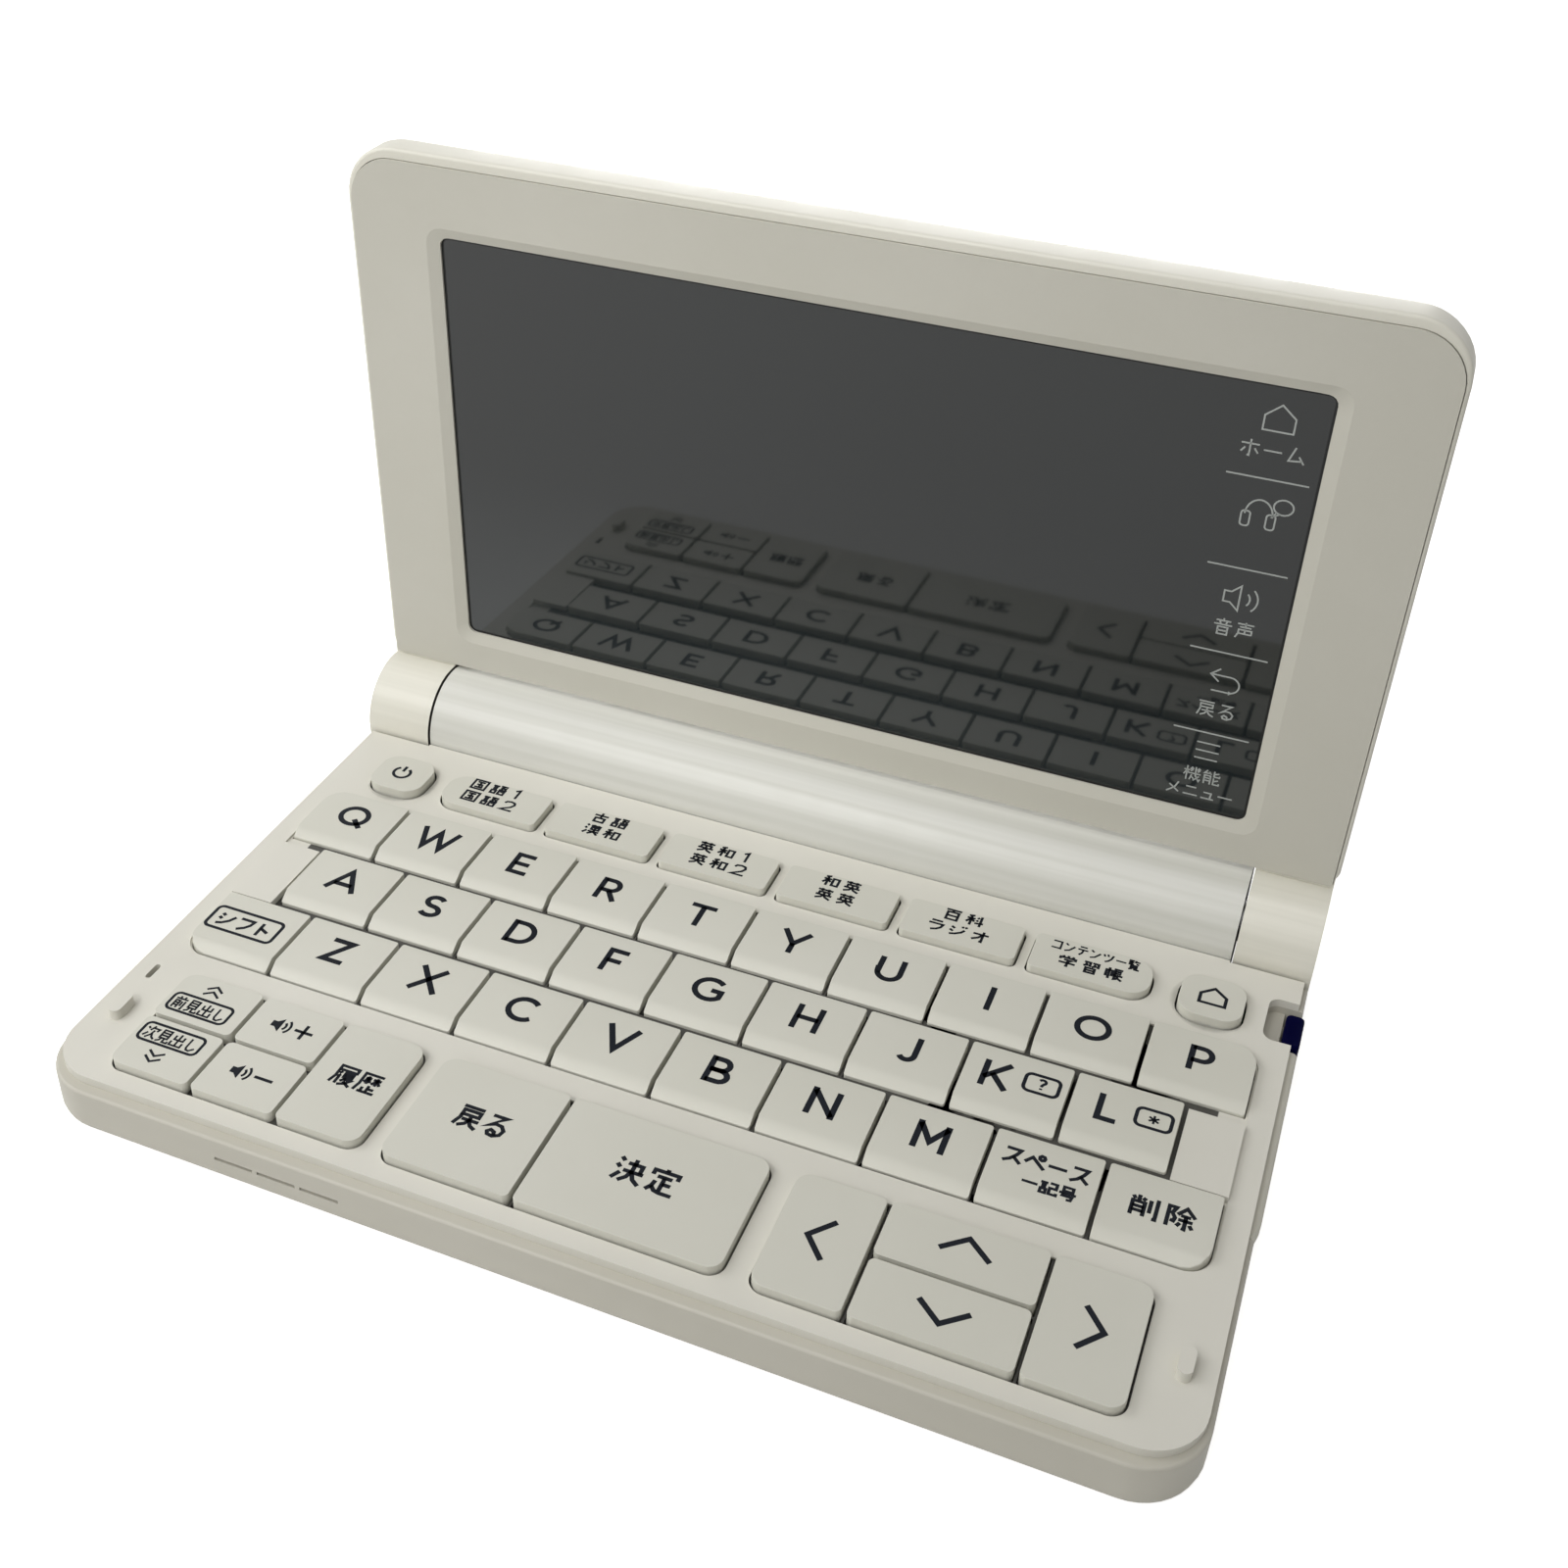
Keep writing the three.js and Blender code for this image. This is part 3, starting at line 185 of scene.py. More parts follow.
def lamp(name, kind, place, target, power, **shape):
    """A lamp at a place in metres, turned to its target; shape holds its kind's own settings."""
    data = bpy.data.lights.new(name, kind)
    for setting, value in shape.items():
        setattr(data, setting, value)
    data.energy = power
    data.color = LAMP_TINT
    holder = bpy.data.objects.new(name, data)
    bpy.context.scene.collection.objects.link(holder)
    holder.location = place
    direction = Vector(target) - Vector(place)
    holder.rotation_euler = direction.to_track_quat("-Z", "Y").to_euler()


def panel_lamp(name, place, target, size, power):
    lamp(name, "AREA", place, target, power, shape="RECTANGLE", size=size[0], size_y=size[1])


def make_lights():
    panel_lamp("left", (-0.42, -0.1, 0.36), (0, 0, 0.02), (0.3, 0.3), 0.95)
    panel_lamp("front", (-0.25, -0.6, 0.6), (0, 0, 0.03), (0.5, 0.5), 2.03)
    panel_lamp("above", (-0.05, -0.12, 0.8), (0, 0, 0.02), (0.6, 0.6), 1.1)
    panel_lamp("behind", (-0.15, 0.8, 0.2), (0, 0.04, 0.05), (0.6, 0.3), 1.9)
    cone = {"spot_size": math.radians(18), "spot_blend": 1.0, "shadow_soft_size": 0.07}
    lamp("hinge", "SPOT", (-0.14, -0.38, 0.46), (-0.02, 0.037, 0.024), 4.1, **cone)


def seen_directly(tree):
    """One where the camera, a reflection or a clear surface looks straight at the background."""
    path = tree.nodes.new("ShaderNodeLightPath").outputs
    seen = calculated(tree, "MAXIMUM", path["Is Camera Ray"], path["Is Glossy Ray"])
    return calculated(tree, "MAXIMUM", seen, path["Is Transmission Ray"])


def blended(tree, share, first, second):
    """A mix of two shaders, the second one where the share is one."""
    mix = tree.nodes.new("ShaderNodeMixShader")
    tree.links.new(share, mix.inputs["Fac"])
    wire(tree, first, 0, mix, 1)
    wire(tree, second, 0, mix, 2)
    return mix


def make_world():
    world = bpy.data.worlds.new("studio")
    bpy.context.scene.world = world
    world.use_nodes = True
    tree = world.node_tree
    tree.nodes.clear()
    light = added(tree, "ShaderNodeBackground", {"Color": (1.0, 0.99, 0.97, 1), "Strength": 0.28})
    white = added(tree, "ShaderNodeBackground", {"Color": WHITE, "Strength": 1.0})
    backdrop = blended(tree, seen_directly(tree), light, white)
    wire(tree, backdrop, 0, tree.nodes.new("ShaderNodeOutputWorld"), "Surface")


def make_floor():
    size = 3.0
    mesh = bpy.data.meshes.new("floor")
    corners = [(-size, -size, 0), (size, -size, 0), (size, size, 0), (-size, size, 0)]
    mesh.from_pydata(corners, [], [(0, 1, 2, 3)])
    floor = bpy.data.objects.new("floor", mesh)
    bpy.context.scene.collection.objects.link(floor)
    material, tree, shader = new_material("pale floor")
    fill(shader, {"Base Color": (0.86, 0.86, 0.85, 1), "Roughness": 0.9, "Specular IOR Level": 0.0})
    glow = added(tree, "ShaderNodeEmission", {"Color": WHITE, "Strength": FLOOR_LIFT})
    reflected = added(tree, "ShaderNodeEmission", {"Color": WHITE, "Strength": FLOOR_REFLECTED_LIFT})
    none = added(tree, "ShaderNodeEmission", {"Strength": 0.0})
    path = tree.nodes.new("ShaderNodeLightPath")
    other = blended(tree, seen_directly(tree), none, reflected)
    straight = blended(tree, path.outputs["Is Camera Ray"], other, glow)
    both = tree.nodes.new("ShaderNodeAddShader")
    wire(tree, shader, 0, both, 0)
    wire(tree, straight, 0, both, 1)
    wire(tree, both, 0, tree.nodes["Material Output"], "Surface")
    mesh.materials.append(material)


# Shared shader effects


def moulded_grain_group():
    """Fine moulded texture and slow unevenness, the same on every plastic piece."""
    sizes = [("Grain per metre", "Float", 2600.0), ("Patches per metre", "Float", 28.0)]
    results = [(name, "Float", None) for name in ("Grain", "Patches", "Rub")]
    tree, source, sink = new_group("Moulded grain", "ShaderNodeTree", sizes, results)
    place = tree.nodes.new("ShaderNodeTexCoord")
    fine = added(tree, "ShaderNodeTexNoise", {"Detail": 3.0, "Roughness": 0.6})
    slow = added(tree, "ShaderNodeTexNoise", {"Detail": 4.0, "Roughness": 0.55})
    rub = added(tree, "ShaderNodeTexNoise", {"Scale": 160.0, "Detail": 6.0, "Distortion": 0.6})
    wire(tree, source, "Grain per metre", fine, "Scale")
    wire(tree, source, "Patches per metre", slow, "Scale")
    for noise, result in ((fine, "Grain"), (slow, "Patches"), (rub, "Rub")):
        wire(tree, place, "Object", noise, "Vector")
        wire(tree, noise, "Fac", sink, result)
    return tree


def drawn_lines_group():
    """Faint paler and darker lines at random that run along X, as bands along the barrel."""
    sizes, results = [("Lines per metre", "Float", 900.0)], [("Lines", "Float", None)]
    tree, source, sink = new_group("Lengthwise lines", "ShaderNodeTree", sizes, results)
    place = tree.nodes.new("ShaderNodeTexCoord")
    stretch = added(tree, "ShaderNodeMapping", {"Scale": (0.012, 1.0, 1.0)})
    noise = added(tree, "ShaderNodeTexNoise", {"Detail": 2.0})
    wire(tree, place, "Object", stretch, "Vector")
    wire(tree, stretch, "Vector", noise, "Vector")
    wire(tree, source, "Lines per metre", noise, "Scale")
    wire(tree, noise, "Fac", sink, "Lines")
    return tree


def mixed(tree, share, first, second):
    """A colour between two, each a tuple or another node's output."""
    mix = added(tree, "ShaderNodeMix", data_type="RGBA")
    tree.links.new(share, mix.inputs["Factor"])
    for name, value in (("A", first), ("B", second)):
        socket = [s for s in mix.inputs if s.name == name and s.type == "RGBA"][0]
        if isinstance(value, tuple):
            socket.default_value = (*value, 1)
        else:
            tree.links.new(value, socket)
    return [s for s in mix.outputs if s.type == "RGBA"][0]


def ranged(tree, value, low, high, from_low=0.3, from_high=0.7):
    limits = {"From Min": from_low, "From Max": from_high, "To Min": low, "To Max": high}
    node = added(tree, "ShaderNodeMapRange", limits)
    tree.links.new(value, node.inputs["Value"])
    return node.outputs["Result"]


def coordinate(tree, axis):
    split = tree.nodes.new("ShaderNodeSeparateXYZ")
    wire(tree, tree.nodes.new("ShaderNodeTexCoord"), "Object", split, 0)
    return split.outputs[axis]


def crossing(tree, value, low, high, line, width):
    """Goes from low to high where the value passes a line, in millimetres."""
    return ranged(tree, value, low, high, (line - width) * MM, (line + width) * MM)


def beyond(tree, axis, line, width=0.05):
    """One where the object coordinate is past a line and zero before it."""
    return crossing(tree, coordinate(tree, axis), 0.0, 1.0, line, width)


def below(tree, axis, line, width=0.05):
    """One under the line and zero past it."""
    return crossing(tree, coordinate(tree, axis), 1.0, 0.0, line, width)


def within(tree, axis, line, width=0.05):
    """One where the distance from the middle plane is less than a line."""
    return crossing(tree, calculated(tree, "ABSOLUTE", coordinate(tree, axis)), 1.0, 0.0, line, width)


def together(tree, first, *others):
    """The product of several masks."""
    for other in others:
        first = calculated(tree, "MULTIPLY", first, other)
    return first


def srgb(red, green, blue):
    """A colour written as screen values from 0 to 255."""
    def linear(value):
        share = value / 255
        return share / 12.92 if share <= 0.04045 else ((share + 0.055) / 1.055) ** 2.4

    return (linear(red), linear(green), linear(blue))


GRAIN = moulded_grain_group()
LINES = drawn_lines_group()
# Painted shade for faces that lie in narrow gaps, and the width and blur of its band
GAP_SHADE_TONE = srgb(70, 69, 64)
GAP_LINE = 0.01
GAP_BLUR = 0.005
BARREL_LINES = 560.0


def plastic(name, colour, shade, rough, bump=0.05, grain=2600.0, patches=28.0, finish_and_shade=None, shine=0.5):
    """Moulded plastic: two close tones in slow patches, fine grain in the surface."""
    material, tree, shader = new_material(name)
    sizes = {"Grain per metre": grain, "Patches per metre": patches}
    effect = added(tree, "ShaderNodeGroup", sizes, node_tree=GRAIN)
    tone = mixed(tree, ranged(tree, effect.outputs["Patches"], 0.0, 1.0), colour, shade)
    # Some finishes also paint shade into the wells and narrow gaps
    if finish_and_shade is not None:
        tone = finish_and_shade(tree, tone)
    tree.links.new(tone, shader.inputs["Base Color"])
    worn = ranged(tree, effect.outputs["Rub"], rough - 0.04, rough + 0.06)
    tree.links.new(worn, shader.inputs["Roughness"])
    height = added(tree, "ShaderNodeBump", {"Strength": bump, "Distance": GRAIN_DEPTH * MM})
    wire(tree, effect, "Grain", height, "Height")
    wire(tree, height, "Normal", shader, "Normal")
    fill(shader, {"IOR": PLASTIC_IOR, "Specular IOR Level": shine})
    return material


def lined(tree, pale, deep):
    """Faint lines along the barrel, between two tones."""
    lines = added(tree, "ShaderNodeGroup", {"Lines per metre": BARREL_LINES}, node_tree=LINES)
    return mixed(tree, ranged(tree, lines.outputs["Lines"], 0.0, 1.0), pale, deep)


def barrel_lines_and_gap_shade(tree, tone):
    """Behind the plateau the case is whiter, with lines, and its ends, which lie in a narrow gap, get
    painted shade.
    """
    side = lined(tree, srgb(219, 219, 213), srgb(202, 202, 194))
    # Painted shade on the barrel's end faces, in the gap beside the knuckles
    ends = within(tree, "X", BARREL_END - GAP_LINE, GAP_BLUR)
    return mixed(tree, beyond(tree, "Y", BARREL_FRONT), tone, mixed(tree, ends, GAP_SHADE_TONE, side))


def well_painted_shade(tree, tone):
    """Painted shade: the floor and ribs between the keys, which lie in deep gaps, are coloured a darker
    grey.
    """
    deep = below(tree, "Z", WELL_FLOOR + WELL_RISE, WELL_BLUR)
    front = beyond(tree, "Y", WELL_FRONT)
    middle = within(tree, "X", WELL_HALF_WIDTH)
    # Painted shade colour for the wells between the keys
    return mixed(tree, together(tree, deep, front, middle), tone, srgb(66, 65, 61))


def lid_lines_and_gap_shade(tree, tone):
    """The knuckles have the barrel's faint lines; their inner faces, which lie in a narrow gap, get
    painted shade.
    """
    low = below(tree, "Z", LID_CLEAR)
    round_side = together(tree, low, within(tree, "X", KNUCKLE_OUTER))
    tone = mixed(tree, round_side, tone, lined(tree, srgb(228, 226, 215), srgb(216, 214, 202)))
    # Painted shade on the knuckles' inner faces, in the gap beside the barrel
    inner = within(tree, "X", KNUCKLE_INNER + GAP_LINE, GAP_BLUR)
    return mixed(tree, together(tree, inner, low), tone, GAP_SHADE_TONE)


def cell_finish(tree, tone):
    """A cell's two ends are bare metal, and a pale band runs round the sleeve near one end."""
    across = coordinate(tree, "X")
    blur = CELL_BLUR * MM
    near_end = calculated(tree, "PINGPONG", across, CELL_PITCH / 2 * MM)
    metal = ranged(tree, near_end, 1.0, 0.0, CELL_METAL * MM, CELL_METAL * MM + blur)
    along = calculated(tree, "WRAP", across, CELL_PITCH * MM, 0.0)
    band = ranged(tree, along, 1.0, 0.0, CELL_BAND * MM, CELL_BAND * MM + blur)
    return mixed(tree, metal, mixed(tree, band, tone, srgb(150, 168, 160)), srgb(186, 186, 182))


def stylus_finish(tree, tone):
    """The end that shows in the finger scoop is navy, and the shaft is off-white."""
    effect = added(tree, "ShaderNodeGroup", node_tree=GRAIN)
    rub = ranged(tree, effect.outputs["Rub"], 0.0, 1.0)
    navy = mixed(tree, rub, srgb(0, 1, 40), srgb(2, 2, 47))
    return mixed(tree, beyond(tree, "Y", STYLUS_COLOUR_LINE), tone, navy)


def make_materials():
    """Each plastic has two close tones, a roughness, and what sets it apart."""
    plastics = {
        # The case, plateau and lid finishes also paint shade into narrow gaps and the wells between the
        # keys
        "case": ("case off-white", (194, 191, 180), (189, 186, 174), 0.4, {"finish_and_shade": barrel_lines_and_gap_shade}),
        "top": ("plateau off-white", (221, 219, 210), (216, 214, 204), 0.42, {"finish_and_shade": well_painted_shade}),
        "key": ("key off-white", (213, 212, 202), (208, 207, 196), 0.42, {"grain": 3200.0}),
        "lid": ("lid ivory", (223, 221, 210), (218, 216, 204), 0.36, {"bump": 0.03, "finish_and_shade": lid_lines_and_gap_shade}),
        "bezel": (
            "bezel matt ivory", (201, 199, 189), (197, 195, 184), 0.6,
            {"bump": 0.22, "grain": 3000.0, "shine": 0.3},
        ),
        "stylus": (
            "stylus", (220, 218, 207), (214, 212, 200), 0.4, {"finish_and_shade": stylus_finish, "shine": 0.02},
        ),
        "ink": ("printed ink", (20, 23, 29), (26, 29, 36), 0.6, {"bump": 0.02, "shine": 0.15}),
        "glass_ink": ("pale print on the glass", (168, 172, 170), (158, 163, 160), 0.5, {"bump": 0.0}),
        "foot": ("rubber foot", (96, 97, 95), (86, 87, 85), 0.75, {"bump": 0.3, "shine": 0.2}),
        "mat": ("keypad rubber", (150, 152, 148), (140, 142, 138), 0.7, {"bump": 0.2, "shine": 0.2}),
        "board": ("circuit board", (34, 92, 56), (28, 80, 48), 0.4, {"bump": 0.2, "patches": 300.0}),
        "cell": ("battery sleeve", (52, 58, 66), (44, 50, 58), 0.3, {"bump": 0.02, "finish_and_shade": cell_finish}),
        "edge": ("black border", (14, 15, 16), (18, 19, 20), 0.35, {"bump": 0.0}),
    }
    made = {}
    for key, (name, tone, patch, rough, extras) in plastics.items():
        made[key] = plastic(name, srgb(*tone), srgb(*patch), rough, **extras)
    made["glass"] = display_glass()
    made["steel"] = plain_metal("hinge steel", srgb(176, 177, 178), 0.3)
    made["contact"] = plain_metal("plated contact", srgb(186, 184, 178), 0.28)
    return made


def display_glass():
    """Dark glass over a display that is off, with a painted reflection of the keyboard that makes it paler
    along its lower side.

    The normal leans back by a few degrees, so that the glass shows the keyboard
    where the photograph does.
    """
    material, tree, shader = new_material("dark display glass")
    haze = added(tree, "ShaderNodeTexNoise", {"Scale": 11.0, "Detail": 2.0})
    wire(tree, tree.nodes.new("ShaderNodeTexCoord"), "Object", haze, "Vector")
    share = ranged(tree, haze.outputs["Fac"], 0.0, 1.0)
    tone = mixed(tree, share, srgb(5, 11, 13), srgb(12, 20, 22))
    # Painted reflection: paler below the line, where the glass mirrors the keyboard
    low = beyond(tree, "Z", GLASS_REFLECTION_LINE, GLASS_REFLECTION_RUN)
    tree.links.new(mixed(tree, low, srgb(36, 41, 43), tone), shader.inputs["Base Color"])
    tree.links.new(ranged(tree, haze.outputs["Fac"], 0.03, 0.05), shader.inputs["Roughness"])
    fill(shader, {"IOR": GLASS_IOR})
    turn = {"Angle": math.radians(-GLASS_LEAN)}
    lean = added(tree, "ShaderNodeVectorRotate", turn, rotation_type="X_AXIS")
    wire(tree, tree.nodes.new("ShaderNodeNewGeometry"), "Normal", lean, "Vector")
    wire(tree, lean, "Vector", shader, "Normal")
    return material


def plain_metal(name, colour, rough):
    material, tree, shader = new_material(name)
    rub = added(tree, "ShaderNodeGroup", node_tree=GRAIN).outputs["Rub"]
    darker = tuple(0.85 * part for part in colour)
    tone = mixed(tree, ranged(tree, rub, 0.0, 1.0), colour, darker)
    tree.links.new(tone, shader.inputs["Base Color"])
    tree.links.new(ranged(tree, rub, rough - 0.05, rough + 0.1), shader.inputs["Roughness"])
    fill(shader, {"Metallic": 1.0})
    return material


# The solid parts' own finish


def moulded_edges_tree():
    """Welds the loose triangles and makes every face smooth up to sharp edges."""
    shape = ("Geometry", "Geometry", None)
    gap = ("Weld distance", "Float", WELD_GAP * MM)
    limit = ("Sharp angle", "Float", math.radians(EDGE_ANGLE))
    tree, source, sink = new_group("Moulded surface", "GeometryNodeTree", [shape, gap, limit], [shape])
    tree.is_modifier = True
    merge = tree.nodes.new("GeometryNodeMergeByDistance")
    faces = added(tree, "GeometryNodeSetShadeSmooth", domain="FACE")
    edges = added(tree, "GeometryNodeSetShadeSmooth", {"Shade Smooth": False}, domain="EDGE")
    angle = tree.nodes.new("GeometryNodeInputMeshEdgeAngle")
    wide = added(tree, "FunctionNodeCompare", operation="GREATER_THAN")
    wire(tree, source, "Weld distance", merge, "Distance")
    wire(tree, angle, "Unsigned Angle", wide, "A")
    wire(tree, source, "Sharp angle", wide, "B")
    wire(tree, wide, "Result", edges, "Selection")
    for start, end in ((source, merge), (merge, faces), (faces, edges), (edges, sink)):
        wire(tree, start, "Geometry", end, "Geometry")
    return tree


def set_inputs(modifier, tree, values):
    for socket in tree.interface.items_tree:
        if socket.in_out == "INPUT" and socket.name in values:
            modifier[socket.identifier] = values[socket.name]


def finish_node(node, material, rounding, tree, sharp):
    """Gives a solid part its material and, where it has plain edges, a small rounding."""
    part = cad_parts[node]
    part.data.materials.clear()
    part.data.materials.append(material)
    for face in part.data.polygons:
        face.material_index = 0
    weld = part.modifiers.new("weld", "WELD")
    weld.merge_threshold = WELD_GAP * MM
    flat = part.modifiers.new("plain faces", "DECIMATE")
    flat.decimate_type = "DISSOLVE"
    flat.angle_limit = math.radians(PLAIN_ANGLE)
    if rounding > 0:
        soft = part.modifiers.new("rounded edges", "BEVEL")
        soft.width = rounding * MM
        soft.segments = 2
        soft.limit_method = "ANGLE"
        soft.angle_limit = math.radians(ROUNDED_ANGLE)
        soft.use_clamp_overlap = True
        soft.miter_outer = "MITER_ARC"
    surface = part.modifiers.new("moulded surface", "NODES")
    surface.node_group = tree
    set_inputs(surface, tree, {"Sharp angle": math.radians(sharp)})
    even = part.modifiers.new("even shading", "WEIGHTED_NORMAL")
    even.keep_sharp = True


def dress_solids(materials):
    tree = moulded_edges_tree()
    looks = {
        "lower_case": "case",
        "upper_case": "top",
        "battery_cover": "case",
        "battery_left": "cell",
        "battery_right": "cell",
        "main_board": "board",
        "keypad_mat": "mat",
        "lid_back_cover": "lid",
        "lid_front_bezel": "bezel",
        "display_panel": "glass",
        "hinge_unit": "steel",
        "stylus": "stylus",
    }
    roundings = {"upper_case": 0.1, "battery_cover": 0.12}
    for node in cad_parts:
        look = looks.get(node, "key")
        rounding = roundings.get(node, KEY_ROUNDING if look == "key" else 0.0)
        sharp = SLOPE_ANGLE if node == "lid_front_bezel" else EDGE_ANGLE
        finish_node(node, materials[look], rounding, tree, sharp)


# Printed marks


def arc(cx, cy, rx, ry, start, end, steps=ARC_STEPS):
    """Points round an ellipse from one angle to another, in degrees."""
    points = []
    for step in range(steps + 1):
        turn = math.radians(start + (end - start) * step / steps)
        points.append((cx + rx * math.cos(turn), cy + ry * math.sin(turn)))
    return points


def ring(cx, cy, rx, ry, steps=ARC_STEPS * 2):
    return arc(cx, cy, rx, ry, 0, 360, steps)[:-1]


def rounded_box(left, low, right, high, radius, steps=5):
    points = []
    corners = [(right, high, 0), (left, high, 90), (left, low, 180), (right, low, 270)]
    for x, y, turn in corners:
        inward_x = x - radius if x == right else x + radius
        inward_y = y - radius if y == high else y + radius
        points += arc(inward_x, inward_y, radius, radius, turn, turn + 90, steps)
    return points


def ride_piece(name, mesh, body):
    """A finished mesh as an object that moves with its body."""
    item = bpy.data.objects.new(name, mesh)
    bpy.context.scene.collection.objects.link(item)
    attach(item, body)


class Print:
    """Flat marks gathered on one surface and made into one thin solid piece.

    The surface is a function from (across, up, height above the surface) in
    millimetres to a point in millimetres.
    """

    def __init__(self, surface, rise=INK_RISE, sink=INK_SINK):
        self.surface = surface
        self.rise = rise
        self.sink = sink
        self.verts = []
        self.faces = []

    def _loop(self, points, height):
        start = len(self.verts)
        for across, up in points:
            self.verts.append(Vector(self.surface(across, up, height)) * MM)
        return list(range(start, start + len(points)))

    def solid(self, outline):
        """A filled outline, its points counterclockwise."""
        area = sum(
            a[0] * b[1] - b[0] * a[1] for a, b in zip(outline, outline[1:] + outline[:1])
        )
        if area < 0:
            outline = outline[::-1]
        top = self._loop(outline, self.rise)
        low = self._loop(outline, -self.sink)
        self.faces.append(top)
        self.faces.append(low[::-1])
        count = len(outline)
        for place in range(count):
            after = (place + 1) % count
            self.faces.append([low[place], low[after], top[after], top[place]])

    def stroke(self, points, width, closed=False):
        """A line of even width through the points, with mitred corners and square ends."""
        half = width / 2
        count = len(points)
        left, right = [], []
        for place, (x, y) in enumerate(points):
            ends = closed or 0 < place < count - 1
            before = points[place - 1] if closed or place > 0 else points[place]
            after = points[(place + 1) % count] if closed or place < count - 1 else points[place]
            first = Vector((x - before[0], y - before[1]))
            second = Vector((after[0] - x, after[1] - y))
            if not ends:
                direction = (first if first.length > 0 else second).normalized()
                side = Vector((-direction.y, direction.x)) * half
            else:
                first, second = first.normalized(), second.normalized()
                bisector = Vector((-first.y - second.y, first.x + second.x))
                bisector = bisector.normalized() if bisector.length > 1e-6 else Vector((-first.y, first.x))
                reach = max(0.34, abs(bisector.dot(Vector((-first.y, first.x)))))
                side = bisector * (half / reach)
            left.append((x + side.x, y + side.y))
            right.append((x - side.x, y - side.y))
        sections = count if closed else count - 1
        for place in range(sections):
            after = (place + 1) % count
            self.solid([right[place], right[after], left[after], left[place]])

    def piece(self, name, body, material):
        mesh = bpy.data.meshes.new(name)
        mesh.from_pydata([tuple(v) for v in self.verts], [], self.faces)
        mesh.materials.append(material)
        mesh.validate()
        mesh.update()
        ride_piece(name, mesh, body)


def letter_table():
    """Each capital's width and the middle lines of its strokes, baseline at zero."""
    tall = CAP_HEIGHT
    edge = CAP_STROKE / 2
    high = tall - edge
    mid = tall / 2
    bowl = (tall - 2 * edge) / 4
    stem = [(edge, 0), (edge, tall)]
    upper_bowl = [(edge, high), (1.7, high)]
    upper_bowl += arc(1.75, high - bowl, 1.0, bowl, 90, -90, 9) + [(edge, mid)]
    lower_bowl = [(edge, mid), (1.9, mid)]
    lower_bowl += arc(1.95, edge + bowl, 1.12, bowl, 90, -90, 9) + [(edge, edge)]
    around = arc(2.4, mid, 2.06, mid - edge, 46, 322)
    loop = [(edge, high), (1.7, high)] + arc(1.75, high - 1.2, 1.2, 1.2, 90, -90, 10)
    eye = [(edge, high), (1.75, high)] + arc(1.8, high - 1.12, 1.12, 1.12, 90, -90, 10)
    cup = arc(1.9, 1.84, 1.56, 1.5, 180, 360, 14)
    far_m = 4.3 - edge
    far_n = 3.95 - edge
    upper_bend = arc(1.62, high - bowl, 1.2, bowl, 32, 262, 14)
    lower_bend = arc(1.62, edge + bowl, 1.3, bowl, 82, -148, 14)
    return {
        "A": (4.6, [[(0.15, 0), (2.3, high), (4.45, 0)], [(0.9, 1.4), (3.7, 1.4)]]),
        "B": (3.4, [stem, upper_bowl, lower_bowl]),
        "C": (4.3, [arc(2.4, mid, 2.06, mid - edge, 44, 316)]),
        "D": (4.1, [
            stem,
            [(edge, high), (1.8, high)] + arc(1.85, mid, 1.9, mid - edge, 90, -90, 14) + [(edge, edge)],
        ]),
        "E": (3.1, [[(3.0, high), (edge, high), (edge, edge), (3.1, edge)], [(edge, mid), (2.75, mid)]]),
        "F": (2.95, [[(2.95, high), (edge, high), (edge, 0)], [(edge, mid - 0.1), (2.55, mid - 0.1)]]),
        "G": (4.55, [around + [(4.05, mid - 0.1), (2.65, mid - 0.1)]]),
        "H": (3.8, [stem, [(3.8 - edge, 0), (3.8 - edge, tall)], [(edge, mid), (3.8 - edge, mid)]]),
        "I": (0.68, [stem]),
        "J": (2.6, [[(2.26, tall), (2.26, 1.4)] + arc(1.26, 1.34, 1.0, 1.0, 0, -150, 10)]),
        "K": (3.7, [stem, [(3.45, tall), (edge, 1.5)], [(1.35, 2.55), (3.55, 0)]]),
        "L": (2.75, [[(edge, tall), (edge, edge), (2.75, edge)]]),
        "M": (4.3, [stem, [(far_m, 0), (far_m, tall)], [(edge, high), (2.15, 1.5), (far_m, high)]]),
        "N": (3.95, [stem, [(far_n, 0), (far_n, tall)], [(edge, high), (far_n, edge)]]),
        "O": (4.8, [("closed", ring(2.4, mid, 2.06, mid - edge))]),
        "P": (3.3, [stem, loop + [(edge, high - 2.4)]]),
        "Q": (4.8, [("closed", ring(2.4, mid, 2.06, mid - edge)), [(2.75, 1.65), (4.4, 0.0)]]),
        "R": (3.4, [stem, eye + [(edge, high - 2.24)], [(1.7, high - 2.2), (3.2, 0)]]),
        "S": (3.2, [upper_bend + lower_bend]),
        "T": (3.7, [[(0, high), (3.7, high)], [(1.85, high), (1.85, 0)]]),
        "U": (3.8, [[(edge, tall), (edge, 1.8)] + cup + [(3.8 - edge, tall)]]),
        "V": (4.4, [[(0.15, tall), (2.2, edge), (4.25, tall)]]),
        "W": (6.0, [[(0.2, tall), (1.65, edge), (3.0, high - 0.3), (4.35, edge), (5.8, tall)]]),
        "X": (4.1, [[(0.25, tall), (3.95, 0)], [(3.85, tall), (0.15, 0)]]),
        "Y": (4.1, [[(0.15, tall), (2.05, 2.0), (3.95, tall)], [(2.05, 2.1), (2.05, 0)]]),
        "Z": (3.6, [[(0.15, high), (3.15, high), (0.45, edge), (3.5, edge)]]),
    }


